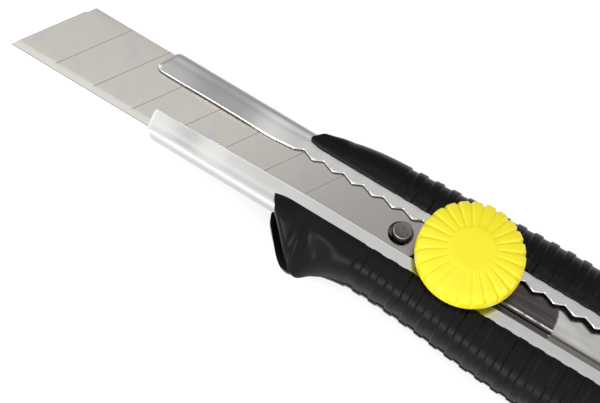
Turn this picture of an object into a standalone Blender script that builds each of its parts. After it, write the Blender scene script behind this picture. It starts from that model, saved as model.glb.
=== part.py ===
"""A snap-off utility knife, lying on its underside with the wheel on top.

The blade's tip points to -X, the blade's spine is on the +Y side and its cutting edge on the
-Y side. The origin is on the flat underside, in the middle of the handle's length.

A stainless channel runs through the handle. A carrier slides in it and holds the blade on a
stud. A wheel on the carrier screws a lock plate up into the toothed lip of the channel.
"""

import math

import bmesh
import bpy
from mathutils import Matrix, Vector

MM = 0.001

# Gaps between pieces that touch on the real knife
GAP = 0.25 * MM

# How far a cutter passes the face that it cuts, where a neighbour is close
OVERCUT = 0.1 * MM

# How finely curves are drawn
BORE_STEPS = 20
SCREW_STEPS = 16
BEND_STEPS = 4
GRIP_ROUND_STEPS = 7
BELLY_STEPS = 5
CORE_STATIONS = 26
STATION_CROWDING = 1.3
GRIP_FRONT_STATIONS = 9
PAD_END_STEPS = 8
CAP_STEPS = 5
CAP_ROUND_STEPS = 5
TAIL_STEPS = 8

# Blade, a standard 18 mm snap-off one
BLADE_WIDTH = 18.0 * MM
BLADE_THICKNESS = 0.5 * MM
BLADE_LENGTH = 107.0 * MM
BLADE_BEVEL = 1.4 * MM
BLADE_SLANT = math.radians(60.0)
BLADE_HOLE_RADIUS = 2.85 * MM
BLADE_TIP_TO_HOLE = 95.5 * MM
SCORE_PITCH = 10.0 * MM
SCORE_COUNT = 7
SCORE_WIDTH = 0.3 * MM
SCORE_DEPTH = 0.12 * MM

# Handle
HANDLE_LENGTH = 128.0 * MM
HANDLE_TOP_ABOVE_LIP = 1.15 * MM
FLANGE_OVERLAP = 3.25 * MM
PARTING_HEIGHT = 6.0 * MM
UNDERSIDE_MARGIN = 0.8 * MM
FRONT_LEAN = 0.3
EDGE_GRIP_SETBACK = 0.9 * MM
CORE_SETBACK = 1.5 * MM

# How far the handle stands out past the channel's side at each named place
FRONT_STANDOUT = 1.0 * MM
GUARD_STANDOUT = 9.0 * MM
NECK_STANDOUT = 6.2 * MM
EDGE_WAIST_STANDOUT = 4.45 * MM
EDGE_BELLY_STANDOUT = 7.65 * MM
SHOULDER_STANDOUT = 4.5 * MM
SPINE_WAIST_STANDOUT = 6.0 * MM
SPINE_BELLY_STANDOUT = 8.3 * MM
BUTT_STANDOUT = 5.0 * MM

# Places along the handle, from its front end
GUARD_AT = 10.9 * MM
NECK_AT = 15.0 * MM
SHOULDER_AT = 10.0 * MM
WAIST_AT = 25.0 * MM
BELLY_AT = 69.0 * MM

# Grooves between the grips' ribs
RIB_PITCH = 4.05 * MM
GROOVE_WIDTH = 2.25 * MM
GROOVE_DEPTH = 0.35 * MM
GROOVE_FLANK = 0.2 * MM
GROOVES_START = 23.0 * MM
SPINE_GROOVES_EARLIER = 0.8 * MM
GROOVES_END_MARGIN = 4.0 * MM
GRIP_INSET = 0.15 * MM

# How square the grips' sections are: 2 is an ellipse, more is squarer
FRONT_SQUARENESS = 5.0
GRIP_SQUARENESS = 2.6
SQUARE_RUN = 7.0 * MM

# The flat strip on top of each grip, beside the lip
EDGE_LAND = 0.4 * MM
SPINE_LAND = 2.9 * MM
SPINE_LAND_WIDENING = 0.15

# Underside pad, set into the handle's flat underside
PAD_LENGTH = 84.0 * MM
PAD_MARGIN = 1.5 * MM
PAD_THICKNESS = 1.8 * MM
PAD_PROUD = 0.8 * MM

# Channel
SHEET = 0.7 * MM
SIDE_PLAY = 0.6 * MM
LIP_PLAY = 0.35 * MM
CHANNEL_STICKOUT = 37.6 * MM
SPINE_BEND = 1.7 * MM
EDGE_BEND = 1.0 * MM
FLOOR_BEND = 1.2 * MM
FLOOR_STEP_Y = -0.7 * MM
TROUGH_DEPTH = 0.9 * MM

# The channel's mouth, measured back from its foremost point
MOUTH_SPINE_SETBACK = 3.2 * MM
MOUTH_EDGE_SETBACK = 7.4 * MM
MOUTH_CORNER_RADIUS = 1.7 * MM
MOUTH_CORNER_SETBACK = 1.9 * MM
MOUTH_CORNER_SWEEP = 70.0
EDGE_LIP_SETBACK = 5.9 * MM
EDGE_LIP_FLARE = 45.0 * MM
EDGE_LIP_NICK = 0.5 * MM

# Rack of teeth on the spine-side lip
RACK_PITCH = 5.08 * MM
RACK_TEETH = 18
RACK_FIRST_TIP = -2.0 * MM
TOOTH_FLAT = 0.4 * MM
TOOTH_STEEP_RUN = 2.2 * MM
TOOTH_DEPTH = 1.05 * MM

# Widths of the lips, from the channel's sides
SPINE_LIP_WIDTH = 6.85 * MM
RACK_LIP_WIDTH = 6.4 * MM
EDGE_LIP_WIDTH = 6.25 * MM
EDGE_LIP_FRONT_WIDTH = 5.3 * MM

# Carrier, stud and lock
CARRIER_THICKNESS = 0.7 * MM
CARRIER_FOOT_INSET = 2.1 * MM
CARRIER_NOSE = 6.0 * MM
CARRIER_TAIL = 23.4 * MM
STUD_RADIUS = 2.12 * MM
STUD_RISE = 2.3 * MM
STUD_CHAMFER = 0.3 * MM
STUD_SPIGOT_RADIUS = 1.3 * MM
STUD_TO_WHEEL = 15.25 * MM
STUD_OFF_HOLE = 0.25 * MM
WHEEL_SETBACK = 43.5 * MM
BOLT_OFF_RACK = 1.9 * MM
BOLT_RADIUS = 1.5 * MM
BOLT_CHAMFER = 0.4 * MM
BOLT_HEAD_RADIUS = 2.2 * MM
LOCK_PLATE_THICKNESS = 0.5 * MM
LOCK_PLATE_HALF_LENGTH = 5.2 * MM
LOCK_TOOTH_AFTER_WHEEL = 2.4 * MM
LOCK_TOOTH_STEEP = 1.0 * MM
LOCK_TOOTH_SHALLOW = 1.35 * MM
LOCK_TOOTH_PLAY = 0.4 * MM
LOCK_TRAVEL = 0.7 * MM

# Wheel and its washers
WHEEL_RADIUS = 12.0 * MM
WHEEL_HEIGHT = 5.0 * MM
WHEEL_FACE_RADIUS = 5.1 * MM
WHEEL_RIM_DROP = 1.5 * MM
WHEEL_RIM_SLOPE = 1.2 * MM
WHEEL_SHOULDER = 1.0 * MM
WHEEL_FOOT_ROUND = 0.4 * MM
WHEEL_FOOT_HEIGHT = 0.5 * MM
WHEEL_OVER_GRIP = 1.3 * MM
WHEEL_RIBS = 24
WHEEL_RIB_HEIGHT = 0.35 * MM
WHEEL_ROOF = 1.2 * MM
INSERT_RADIUS = 3.4 * MM
WASHER_RADIUS = 4.5 * MM
WASHER_THICKNESS = 0.5 * MM
PRESSURE_PLATE_THICKNESS = 0.8 * MM
PRESSURE_PLATE_HALF_LENGTH = 6.5 * MM

# End cap, which pulls off and snaps blades
CAP_LENGTH = 8.5 * MM
CAP_TONGUE = 8.0 * MM
CAP_ROUND = 2.5 * MM
CAP_ROUND_LENGTH = 3.7 * MM
SNAP_SLOT_HEIGHT = 1.2 * MM
SNAP_SLOT_DEPTH = 5.5 * MM
CAP_SPRING_THICKNESS = 0.4 * MM
CAP_SPRING_WIDTH = 4.0 * MM

# Channel screws
SCREW_COUNT = 4
SCREW_RADIUS = 1.25 * MM
SCREW_HEAD_RADIUS = 2.3 * MM
SCREW_HEAD_HEIGHT = 1.3 * MM
SCREW_INSET = 4.7 * MM
SCREW_SPREAD = 66.0 * MM

# Heights, worked out from the underside up
FLOOR_UNDERSIDE_Z = 8.7 * MM
TROUGH_Z = FLOOR_UNDERSIDE_Z + SHEET
RAISED_FLOOR_Z = TROUGH_Z + TROUGH_DEPTH
CARRIER_Z = RAISED_FLOOR_Z + GAP
BLADE_Z = CARRIER_Z + CARRIER_THICKNESS + GAP
BLADE_TOP_Z = BLADE_Z + BLADE_THICKNESS
LIP_UNDERSIDE_Z = BLADE_TOP_Z + LIP_PLAY
LIP_TOP_Z = LIP_UNDERSIDE_Z + SHEET
HANDLE_TOP_Z = LIP_TOP_Z + HANDLE_TOP_ABOVE_LIP
WHEEL_Z = HANDLE_TOP_Z + WHEEL_OVER_GRIP

# Places along and across the knife
BLADE_HALF = BLADE_WIDTH / 2
CHANNEL_INNER = BLADE_HALF + SIDE_PLAY
CHANNEL_HALF = CHANNEL_INNER + SHEET
HANDLE_FRONT_X = -HANDLE_LENGTH / 2
HANDLE_REAR_X = HANDLE_LENGTH / 2 - CAP_LENGTH
CHANNEL_FRONT_X = HANDLE_FRONT_X - CHANNEL_STICKOUT
SPINE_LIP_EDGE_Y = CHANNEL_HALF - SPINE_LIP_WIDTH
RACK_TIP_Y = CHANNEL_HALF - RACK_LIP_WIDTH
EDGE_LIP_EDGE_Y = EDGE_LIP_WIDTH - CHANNEL_HALF
EDGE_LIP_FRONT_Y = EDGE_LIP_FRONT_WIDTH - CHANNEL_HALF
UNDERSIDE_HALF = CHANNEL_HALF - UNDERSIDE_MARGIN
PAD_HALF = UNDERSIDE_HALF - PAD_MARGIN
CARRIER_FOOT_Y = CARRIER_FOOT_INSET - CHANNEL_INNER
SCREW_Y = SCREW_INSET - CHANNEL_HALF
WHEEL_Y = RACK_TIP_Y - BOLT_OFF_RACK
WHEEL_X = HANDLE_FRONT_X + WHEEL_SETBACK
STUD_X = WHEEL_X - STUD_TO_WHEEL
HOLE_X = STUD_X - STUD_OFF_HOLE
TIP_X = HOLE_X - BLADE_TIP_TO_HOLE
RACK_START_X = HANDLE_FRONT_X + RACK_FIRST_TIP
GRIP_WALL = CHANNEL_HALF + GAP
SLANT_RUN = 1 / math.tan(BLADE_SLANT)


# ---------------------------------------------------------------- materials

def material(name, colour, roughness, metallic):
    """A Principled material of one colour."""
    made = bpy.data.materials.new(name)
    made.use_nodes = True
    shader = made.node_tree.nodes["Principled BSDF"]
    shader.inputs["Base Color"].default_value = (*colour, 1.0)
    shader.inputs["Roughness"].default_value = roughness
    shader.inputs["Metallic"].default_value = metallic
    return made


def blade_steel():
    return material("blade steel", (0.50, 0.49, 0.47), 0.35, 1.0)


def stainless_sheet():
    return material("stainless sheet", (0.66, 0.66, 0.65), 0.28, 1.0)


def dark_steel():
    return material("dark steel", (0.12, 0.11, 0.11), 0.35, 1.0)


def zinc_steel():
    return material("zinc plated steel", (0.55, 0.55, 0.54), 0.40, 1.0)


def brass():
    return material("brass", (0.68, 0.50, 0.24), 0.35, 1.0)


def yellow_plastic():
    return material("yellow plastic", (0.90, 0.80, 0.04), 0.35, 0.0)


def black_nylon():
    return material("black nylon", (0.010, 0.010, 0.011), 0.45, 0.0)


def black_rubber():
    return material("black rubber", (0.008, 0.008, 0.009), 0.60, 0.0)


# ---------------------------------------------------------------- mesh tools

def add_object(name, bm, surface):
    """Turns a bmesh into an object with outward faces and one material."""
    bmesh.ops.recalc_face_normals(bm, faces=bm.faces)
    mesh = bpy.data.meshes.new(name)
    bm.to_mesh(mesh)
    bm.free()
    made = bpy.data.objects.new(name, mesh)
    bpy.context.scene.collection.objects.link(made)
    if surface is not None:
        mesh.materials.append(surface)
    return made


def loft(name, rings, surface, sheet=False):
    """Joins equal rings of points into a closed solid.

    A sheet's ring runs out along one face and back along the other, so its ends are closed
    by a quad between each pair of opposite points.
    """
    bm = bmesh.new()
    rows = [[bm.verts.new(point) for point in ring] for ring in rings]
    count = len(rows[0])
    for near, far in zip(rows, rows[1:]):
        for i in range(count):
            j = (i + 1) % count
            bm.faces.new((near[i], near[j], far[j], far[i]))
    for row in (rows[0], rows[-1]):
        if sheet:
            for i in range(count // 2 - 1):
                bm.faces.new((row[i], row[i + 1], row[count - 2 - i], row[count - 1 - i]))
        else:
            bm.faces.new(row)
    return add_object(name, bm, surface)


def prism(name, outline, low, high, surface=None):
    """A plan outline raised from one height to another."""
    return loft(name, [[(x, y, z) for x, y in outline] for z in (low, high)], surface)


def box(name, x0, x1, y0, y1, z0, z1, surface=None):
    return prism(name, [(x0, y0), (x1, y0), (x1, y1), (x0, y1)], z0, z1, surface)


def circle(x, y, radius, count):
    turns = [2 * math.pi * i / count for i in range(count)]
    return [(x + radius * math.cos(a), y + radius * math.sin(a)) for a in turns]


def cylinder(name, x, y, radius, low, high, surface=None, count=24):
    return prism(name, circle(x, y, radius, count), low, high, surface)


def turned(name, x, y, steps, surface, count=24):
    """A turned piece on a vertical axis: steps are (radius, height), bottom to top."""
    rings = [[(px, py, z) for px, py in circle(x, y, r, count)] for r, z in steps]
    return loft(name, rings, surface)


def cut(piece, tool):
    """Takes a tool's shape out of a piece and hides the tool."""
    tool.hide_render = True
    tool.display_type = "WIRE"
    modifier = piece.modifiers.new("cut " + tool.name, "BOOLEAN")
    modifier.operation = "DIFFERENCE"
    modifier.solver = "EXACT"
    modifier.object = tool


def smooth(piece, angle=35.0):
    piece.data.shade_smooth()
    piece.data.set_sharp_from_angle(angle=math.radians(angle))


def pivot(name, place, parent=None):
    """An empty on a joint's axis."""
    made = bpy.data.objects.new(name, None)
    made.empty_display_size = 5 * MM
    bpy.context.scene.collection.objects.link(made)
    made.location = Vector(place) - (parent.location if parent else Vector())
    made.parent = parent
    made["place"] = place
    return made


def hang(piece, axis):
    """Gives a piece the origin and the parent of its joint, and leaves it where it is."""
    place = Vector(axis["place"])
    piece.data.transform(Matrix.Translation(-place))
    piece.parent = axis


# ---------------------------------------------------------------- outlines

def bend(centre_y, centre_z, radius, start, end):
    """Points of a bend in the sheet, seen along X, with angles in degrees."""
    points = []
    for i in range(BEND_STEPS + 1):
        angle = math.radians(start + (end - start) * i / BEND_STEPS)
        points.append((centre_y + radius * math.cos(angle), centre_z + radius * math.sin(angle)))
    return points


def floor_step(above):
    """Where the floor's 45-degree step starts, at a distance above its upper face."""
    return FLOOR_STEP_Y - above * math.tan(math.pi / 8)


def channel_side(depth, spine_edge, edge_edge):
    """One face of the channel's sheet from lip to lip; depth 0 is outside, SHEET inside."""
    half = CHANNEL_HALF
    top = LIP_TOP_Z - depth
    low = FLOOR_UNDERSIDE_Z + depth
    spine_low = low + TROUGH_DEPTH
    step = floor_step(depth - SHEET)
    points = [(spine_edge, top)]
    points += bend(half - SPINE_BEND, LIP_TOP_Z - SPINE_BEND, SPINE_BEND - depth, 90, 0)
    floor_z = FLOOR_UNDERSIDE_Z + TROUGH_DEPTH + FLOOR_BEND
    points += bend(half - FLOOR_BEND, floor_z, FLOOR_BEND - depth, 0, -90)
    points += [(step, spine_low), (step - TROUGH_DEPTH, low)]
    floor_z = FLOOR_UNDERSIDE_Z + FLOOR_BEND
    points += bend(FLOOR_BEND - half, floor_z, FLOOR_BEND - depth, -90, -180)
    points += bend(EDGE_BEND - half, LIP_TOP_Z - EDGE_BEND, EDGE_BEND - depth, 180, 90)
    points += [(edge_edge, top)]
    return points


def knotted(knots, x):
    """A smooth height at x through a few knots, level at both ends."""
    if x <= knots[0][0]:
        return knots[0][1]
    if x >= knots[-1][0]:
        return knots[-1][1]
    i = max(k for k in range(len(knots) - 1) if knots[k][0] <= x)
    (x0, y0), (x1, y1) = knots[i], knots[i + 1]

    def slope(k):
        if k in (0, len(knots) - 1):
            return (knots[1][1] - knots[0][1]) / (knots[1][0] - knots[0][0]) if k == 0 else 0.0
        left = (knots[k][1] - knots[k - 1][1]) / (knots[k][0] - knots[k - 1][0])
        right = (knots[k + 1][1] - knots[k][1]) / (knots[k + 1][0] - knots[k][0])
        return 0.0 if left * right <= 0 else 2 * left * right / (left + right)

    t = (x - x0) / (x1 - x0)
    run = x1 - x0
    rise = t * t * (3 - 2 * t)
    return y0 + (y1 - y0) * rise + run * t * (1 - t) * ((1 - t) * slope(i) - t * slope(i + 1))


def standout_knots(side):
    """How far the handle stands out past the channel, along X; side is 1 spine, -1 edge."""
    front = HANDLE_FRONT_X
    knots = [(front, FRONT_STANDOUT)]
    if side < 0:
        knots += [(front + GUARD_AT, GUARD_STANDOUT), (front + NECK_AT, NECK_STANDOUT)]
        knots += [(front + WAIST_AT, EDGE_WAIST_STANDOUT)]
        knots += [(front + BELLY_AT, EDGE_BELLY_STANDOUT)]
    else:
        knots += [(front + SHOULDER_AT, SHOULDER_STANDOUT)]
        knots += [(front + WAIST_AT, SPINE_WAIST_STANDOUT)]
        knots += [(front + BELLY_AT, SPINE_BELLY_STANDOUT)]
    knots += [(HANDLE_REAR_X + CAP_LENGTH, BUTT_STANDOUT)]
    return knots


def half_width(side, x):
    return CHANNEL_HALF + knotted(standout_knots(side), x)


def groove_stations(start):
    """(x, depth) pairs that draw each groove's two flanks along the handle."""
    stations = []
    x = start
    while x + GROOVE_WIDTH < HANDLE_REAR_X - GROOVES_END_MARGIN:
        stations += [
            (x, 0.0),
            (x + GROOVE_FLANK, GROOVE_DEPTH),
            (x + GROOVE_WIDTH - GROOVE_FLANK, GROOVE_DEPTH),
            (x + GROOVE_WIDTH, 0.0),
        ]
        x += RIB_PITCH
    return stations


def front_stations(start, end):
    """Places from a grip's front end to its first groove, closer together at the front."""
    run = end - GROOVE_WIDTH / 2 - start
    count = GRIP_FRONT_STATIONS
    return [start + run * (i / count) ** STATION_CROWDING for i in range(count + 1)]


# ---------------------------------------------------------------- blade

def make_blade():
    """The blade: a strip with a ground edge, both ends slanted, scored across, with a hole."""
    edge_z = BLADE_Z + BLADE_THICKNESS / 2
    ring = [
        (-BLADE_HALF, edge_z),
        (BLADE_BEVEL - BLADE_HALF, BLADE_TOP_Z),
        (BLADE_HALF, BLADE_TOP_Z),
        (BLADE_HALF, BLADE_Z),
        (BLADE_BEVEL - BLADE_HALF, BLADE_Z),
    ]
    tail_x = TIP_X + BLADE_LENGTH - BLADE_WIDTH * SLANT_RUN
    rings = []
    for end_x in (TIP_X, tail_x):
        rings.append([(end_x + (y + BLADE_HALF) * SLANT_RUN, y, z) for y, z in ring])
    blade = loft("blade", rings, blade_steel())
    hole = cylinder("blade hole", HOLE_X, 0.0, BLADE_HOLE_RADIUS, BLADE_Z - MM, BLADE_TOP_Z + MM)
    cut(blade, hole)
    for n in range(1, SCORE_COUNT + 1):
        cut(blade, score_tool(n))
    return blade


def score_tool(n):
    """A slanted bar that cuts one score line, from the spine to the ground edge."""
    low = BLADE_BEVEL
    high = BLADE_WIDTH + MM
    middle = TIP_X + n * SCORE_PITCH
    outline = [
        (middle + low * SLANT_RUN - SCORE_WIDTH / 2, low - BLADE_HALF),
        (middle + low * SLANT_RUN + SCORE_WIDTH / 2, low - BLADE_HALF),
        (middle + high * SLANT_RUN + SCORE_WIDTH / 2, high - BLADE_HALF),
        (middle + high * SLANT_RUN - SCORE_WIDTH / 2, high - BLADE_HALF),
    ]
    return prism(f"score {n}", outline, BLADE_TOP_Z - SCORE_DEPTH, BLADE_TOP_Z + MM)


# ---------------------------------------------------------------- channel

def make_channel():
    """The channel: folded sheet with two lips, a stepped floor and a rack in one lip."""
    steel = stainless_sheet()
    tip_y = SPINE_LIP_EDGE_Y - MM
    stations = [
        (0.0, EDGE_LIP_FRONT_Y),
        (EDGE_LIP_FLARE, EDGE_LIP_EDGE_Y),
        (HANDLE_REAR_X - GAP - CHANNEL_FRONT_X, EDGE_LIP_EDGE_Y),
    ]
    rings = []
    for along, edge_y in stations:
        x = CHANNEL_FRONT_X + along
        outside = channel_side(0.0, tip_y, edge_y)
        inside = channel_side(SHEET, tip_y, edge_y)
        rings.append([(x, y, z) for y, z in outside + inside[::-1]])
    channel = loft("channel", rings, steel, sheet=True)
    cut(channel, rack_tool())
    cut(channel, lip_front_tool())
    cut(channel, floor_front_tool())
    for n, x in enumerate(screw_places(), start=1):
        name = f"channel hole {n}"
        low = FLOOR_UNDERSIDE_Z - MM
        radius = SCREW_RADIUS + GAP
        cut(channel, cylinder(name, x, SCREW_Y, radius, low, CARRIER_Z, count=SCREW_STEPS))
    return channel


def rack_tool():
    """Everything between the spine lip's edge and the slot's middle, teeth included."""
    outline = [(CHANNEL_FRONT_X - MM, 0.0), (CHANNEL_FRONT_X - MM, SPINE_LIP_EDGE_Y)]
    outline += [(RACK_START_X - RACK_PITCH, SPINE_LIP_EDGE_Y)]
    for n in range(RACK_TEETH):
        tip = RACK_START_X + n * RACK_PITCH
        outline += [
            (tip - TOOTH_FLAT / 2, RACK_TIP_Y),
            (tip + TOOTH_FLAT / 2, RACK_TIP_Y),
            (tip + TOOTH_STEEP_RUN, RACK_TIP_Y + TOOTH_DEPTH),
        ]
    outline += [(RACK_START_X + RACK_TEETH * RACK_PITCH, RACK_TIP_Y)]
    outline += [(HANDLE_REAR_X + MM, RACK_TIP_Y), (HANDLE_REAR_X + MM, 0.0)]
    return prism("rack tool", outline, LIP_UNDERSIDE_Z - OVERCUT, LIP_TOP_Z + MM)


def lip_front_tool():
    """Trims both lips at the mouth: the spine lip slants back to its side, with a round
    inner corner, and the edge lip starts further back.
    """
    front = CHANNEL_FRONT_X
    corner_x = front + MOUTH_CORNER_SETBACK
    corner_y = SPINE_LIP_EDGE_Y + MOUTH_CORNER_RADIUS
    edge_x = front + EDGE_LIP_SETBACK
    nick_y = EDGE_LIP_FRONT_Y - 2 * EDGE_LIP_NICK
    outline = [(front - MM, -CHANNEL_HALF - MM), (edge_x + EDGE_LIP_NICK, -CHANNEL_HALF - MM)]
    outline += [(edge_x - EDGE_LIP_NICK, nick_y), (edge_x, EDGE_LIP_FRONT_Y), (edge_x, 0.0)]
    outline += [(corner_x, 0.0)]
    for i in range(BEND_STEPS + 1):
        angle = math.radians(-90 - MOUTH_CORNER_SWEEP * i / BEND_STEPS)
        x = corner_x + MOUTH_CORNER_RADIUS * math.cos(angle)
        outline += [(x, corner_y + MOUTH_CORNER_RADIUS * math.sin(angle))]
    back = front + MOUTH_SPINE_SETBACK
    outline += [(back, CHANNEL_HALF + MM), (front - MM, CHANNEL_HALF + MM)]
    return prism("lip front tool", outline, LIP_UNDERSIDE_Z - OVERCUT, LIP_TOP_Z + MM)


def floor_front_tool():
    """Trims the walls and the floor at the mouth, slanted like the lips."""
    front = CHANNEL_FRONT_X
    outline = [
        (front - MM, -CHANNEL_HALF - MM),
        (front + MOUTH_EDGE_SETBACK, -CHANNEL_HALF - MM),
        (front + MOUTH_SPINE_SETBACK, CHANNEL_HALF + MM),
        (front - MM, CHANNEL_HALF + MM),
    ]
    return prism("floor front tool", outline, FLOOR_UNDERSIDE_Z - MM, LIP_UNDERSIDE_Z)


def screw_places():
    """Places along X of the screws under the channel."""
    step = SCREW_SPREAD / (SCREW_COUNT - 1)
    return [-SCREW_SPREAD / 2 + n * step for n in range(SCREW_COUNT)]


# ---------------------------------------------------------------- handle

def make_core():
    """The hard lower shell: a seat for the channel and a rim that carries the grips."""
    shelf = PARTING_HEIGHT
    low_seat = FLOOR_UNDERSIDE_Z - GAP
    high_seat = low_seat + TROUGH_DEPTH
    step = floor_step(-SHEET - GAP)
    front_x = HANDLE_FRONT_X + CORE_SETBACK
    run = HANDLE_REAR_X - front_x
    rings = []
    for i in range(CORE_STATIONS + 1):
        x = front_x + run * (i / CORE_STATIONS) ** STATION_CROWDING
        spine = half_width(1, x)
        edge = half_width(-1, x)
        ring = [
            (CHANNEL_HALF, shelf),
            (CHANNEL_HALF, high_seat),
            (step, high_seat),
            (step - TROUGH_DEPTH, low_seat),
            (-CHANNEL_HALF, low_seat),
            (-CHANNEL_HALF, shelf),
        ]
        ring += belly(-edge) + belly(spine)[::-1]
        rings.append([(x, y, z) for y, z in ring])
    core = loft("handle_core", rings, black_nylon())
    cut(core, pad_shape("pad recess", GAP, PAD_THICKNESS + GAP))
    for n, x in enumerate(screw_places(), start=1):
        well = screw_steps(GAP)
        cut(core, turned(f"screw well {n}", x, SCREW_Y, well, None, count=SCREW_STEPS))
    return core


def belly(width):
    """Half of the lower shell's outline, from the rim down to the flat underside."""
    flat = math.copysign(UNDERSIDE_HALF, width)
    points = []
    for i in range(BELLY_STEPS + 1):
        angle = math.pi / 2 * i / BELLY_STEPS
        y = flat + (width - flat) * math.cos(angle)
        z = PAD_PROUD + (PARTING_HEIGHT - PAD_PROUD) * (1 - math.sin(angle))
        points.append((y, z))
    return points


def make_grip(name, side):
    """One soft grip: it hugs the channel's side, laps over its lip and carries the ribs."""
    front = HANDLE_FRONT_X + (EDGE_GRIP_SETBACK if side < 0 else 0.0)
    first = HANDLE_FRONT_X + GROOVES_START - (SPINE_GROOVES_EARLIER if side > 0 else 0.0)
    stations = [(x, 0.0) for x in front_stations(front, first)] + groove_stations(first)
    stations += [(HANDLE_REAR_X - MM, 0.0), (HANDLE_REAR_X - GAP, 0.0)]
    rings = []
    for x, depth in stations:
        fade = max(0.0, 1 - (x - HANDLE_FRONT_X) / GROOVES_START)
        lean = FRONT_LEAN * fade
        ring = grip_section(side, x, depth)
        rings.append([(x + lean * (HANDLE_TOP_Z - z), side * y, z) for y, z in ring])
    grip = loft(name, rings, black_rubber())
    smooth(grip)
    return grip


def grip_section(side, x, depth):
    """A grip's outline across the handle: flange, flat land, rounded side, then the parting
    and the wall that hugs the channel round its bend.
    """
    lip_edge = CHANNEL_HALF - FLANGE_OVERLAP
    flange_z = LIP_TOP_Z + GAP
    low = PARTING_HEIGHT + GAP
    start = lip_edge + land_width(side, x)
    reach = half_width(side, x) - GRIP_INSET - depth - start
    rise = HANDLE_TOP_Z - depth - low
    ring = [(lip_edge, flange_z), (lip_edge, HANDLE_TOP_Z - depth)]
    front = max(0.0, 1 - (x - HANDLE_FRONT_X) / SQUARE_RUN)
    power = 2 / (GRIP_SQUARENESS + (FRONT_SQUARENESS - GRIP_SQUARENESS) * front)
    for i in range(GRIP_ROUND_STEPS + 1):
        angle = math.pi / 2 * i / GRIP_ROUND_STEPS
        y = start + reach * math.sin(angle) ** power
        ring.append((y, low + rise * math.cos(angle) ** power))
    radius = SPINE_BEND if side > 0 else EDGE_BEND
    inner = bend(CHANNEL_HALF - radius, LIP_TOP_Z - radius, radius + GAP, 0, 90)
    return ring + [(GRIP_WALL, low)] + inner


def land_width(side, x):
    """The flat strip beside the lip: it widens along the spine grip, and is narrow on the
    edge grip.
    """
    if side < 0:
        return EDGE_LAND
    return min(SPINE_LAND, EDGE_LAND + SPINE_LAND_WIDENING * (x - HANDLE_FRONT_X))


def pad_shape(name, grow, top, surface=None):
    """The underside pad's slab with round ends, or its recess when grown."""
    half = PAD_HALF + grow
    reach = PAD_LENGTH / 2 + grow - half
    outline = []
    for centre, start in ((reach, -90), (-reach, 90)):
        for i in range(PAD_END_STEPS + 1):
            angle = math.radians(start + 180 * i / PAD_END_STEPS)
            outline.append((centre + half * math.cos(angle), half * math.sin(angle)))
    low = 0.0 if surface else -MM
    return prism(name, outline, low, top, surface)


def make_pad():
    """The soft pad that the knife rests on."""
    return pad_shape("underside_pad", 0.0, PAD_THICKNESS, black_rubber())


def screw_steps(grow):
    """A screw's turned outline, or its well when grown."""
    head_z = PAD_THICKNESS + 2 * GAP + (0.0 if grow else GAP)
    tip_z = TROUGH_Z - OVERCUT
    low = PAD_PROUD if grow else head_z
    neck_z = head_z + SCREW_HEAD_HEIGHT + grow + (GAP if grow else 0.0)
    top = tip_z + MM if grow else tip_z
    return [
        (SCREW_HEAD_RADIUS + grow, low),
        (SCREW_HEAD_RADIUS + grow, neck_z),
        (SCREW_RADIUS + grow, neck_z),
        (SCREW_RADIUS + grow, top),
    ]


def make_screws():
    """The screws that hold the channel down on the shell, under the pad."""
    steel = zinc_steel()
    for n, x in enumerate(screw_places(), start=1):
        screw = turned(f"channel_screw_{n}", x, SCREW_Y, screw_steps(0.0), steel, count=SCREW_STEPS)
        smooth(screw)


# ---------------------------------------------------------------- end cap

def make_cap():
    """The end cap: it carries the handle's outline on to a round end, with a tongue in the
    channel and a slot that takes a blade to snap it.
    """
    end = HANDLE_LENGTH / 2
    stations = [(HANDLE_REAR_X + GAP, 0.0)]
    for i in range(CAP_ROUND_STEPS + 1):
        turn = math.pi / 2 * i / CAP_ROUND_STEPS
        x = end - CAP_ROUND_LENGTH * (1 - math.sin(turn))
        stations.append((x, CAP_ROUND * (1 - math.cos(turn))))
    rings = []
    for x, tuck in stations:
        spine = cap_half(1, x, tuck)
        rings.append([(x, y, z) for y, z in spine + cap_half(-1, x, tuck)[::-1]])
    cap = loft("end_cap", rings, black_nylon())
    tongue = cap_tongue()
    join(cap, tongue)
    slot_z = (CARRIER_Z + LIP_UNDERSIDE_Z) / 2
    slot = box(
        "snap slot", end - SNAP_SLOT_DEPTH, end + MM, -BLADE_HALF - MM, BLADE_HALF + MM,
        slot_z - SNAP_SLOT_HEIGHT / 2, slot_z + SNAP_SLOT_HEIGHT / 2,
    )
    cut(cap, slot)
    smooth(cap)
    return cap


def cap_half(side, x, tuck):
    """Half of the cap's outline across the knife, from its underside up to its top."""
    width = half_width(side, x) - GRIP_INSET - tuck
    low = PARTING_HEIGHT - PAD_PROUD - tuck
    high = HANDLE_TOP_Z - PARTING_HEIGHT - tuck
    top_flat = CHANNEL_HALF - FLANGE_OVERLAP + land_width(side, x)
    points = []
    for i in range(CAP_STEPS + 1):
        angle = math.pi / 2 * i / CAP_STEPS
        reach = (width - UNDERSIDE_HALF) * math.sin(angle)
        points.append((side * (UNDERSIDE_HALF + reach), PARTING_HEIGHT - low * math.cos(angle)))
    for i in range(1, CAP_STEPS + 1):
        angle = math.pi / 2 * i / CAP_STEPS
        power = 2 / GRIP_SQUARENESS
        reach = (width - top_flat) * math.cos(angle) ** power
        points.append((side * (top_flat + reach), PARTING_HEIGHT + high * math.sin(angle) ** power))
    return points


def cap_tongue():
    """The tongue that plugs into the channel's open end."""
    half = CHANNEL_INNER - 2 * GAP - FLOOR_BEND / 2
    start = HANDLE_REAR_X - CAP_TONGUE
    end = HANDLE_REAR_X + MM
    return box("tongue", start, end, -half, half, CARRIER_Z, LIP_UNDERSIDE_Z - GAP)


def join(piece, addition):
    """Makes one closed body of two that overlap."""
    addition.hide_render = True
    addition.display_type = "WIRE"
    modifier = piece.modifiers.new("join " + addition.name, "BOOLEAN")
    modifier.operation = "UNION"
    modifier.solver = "EXACT"
    modifier.object = addition


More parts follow.
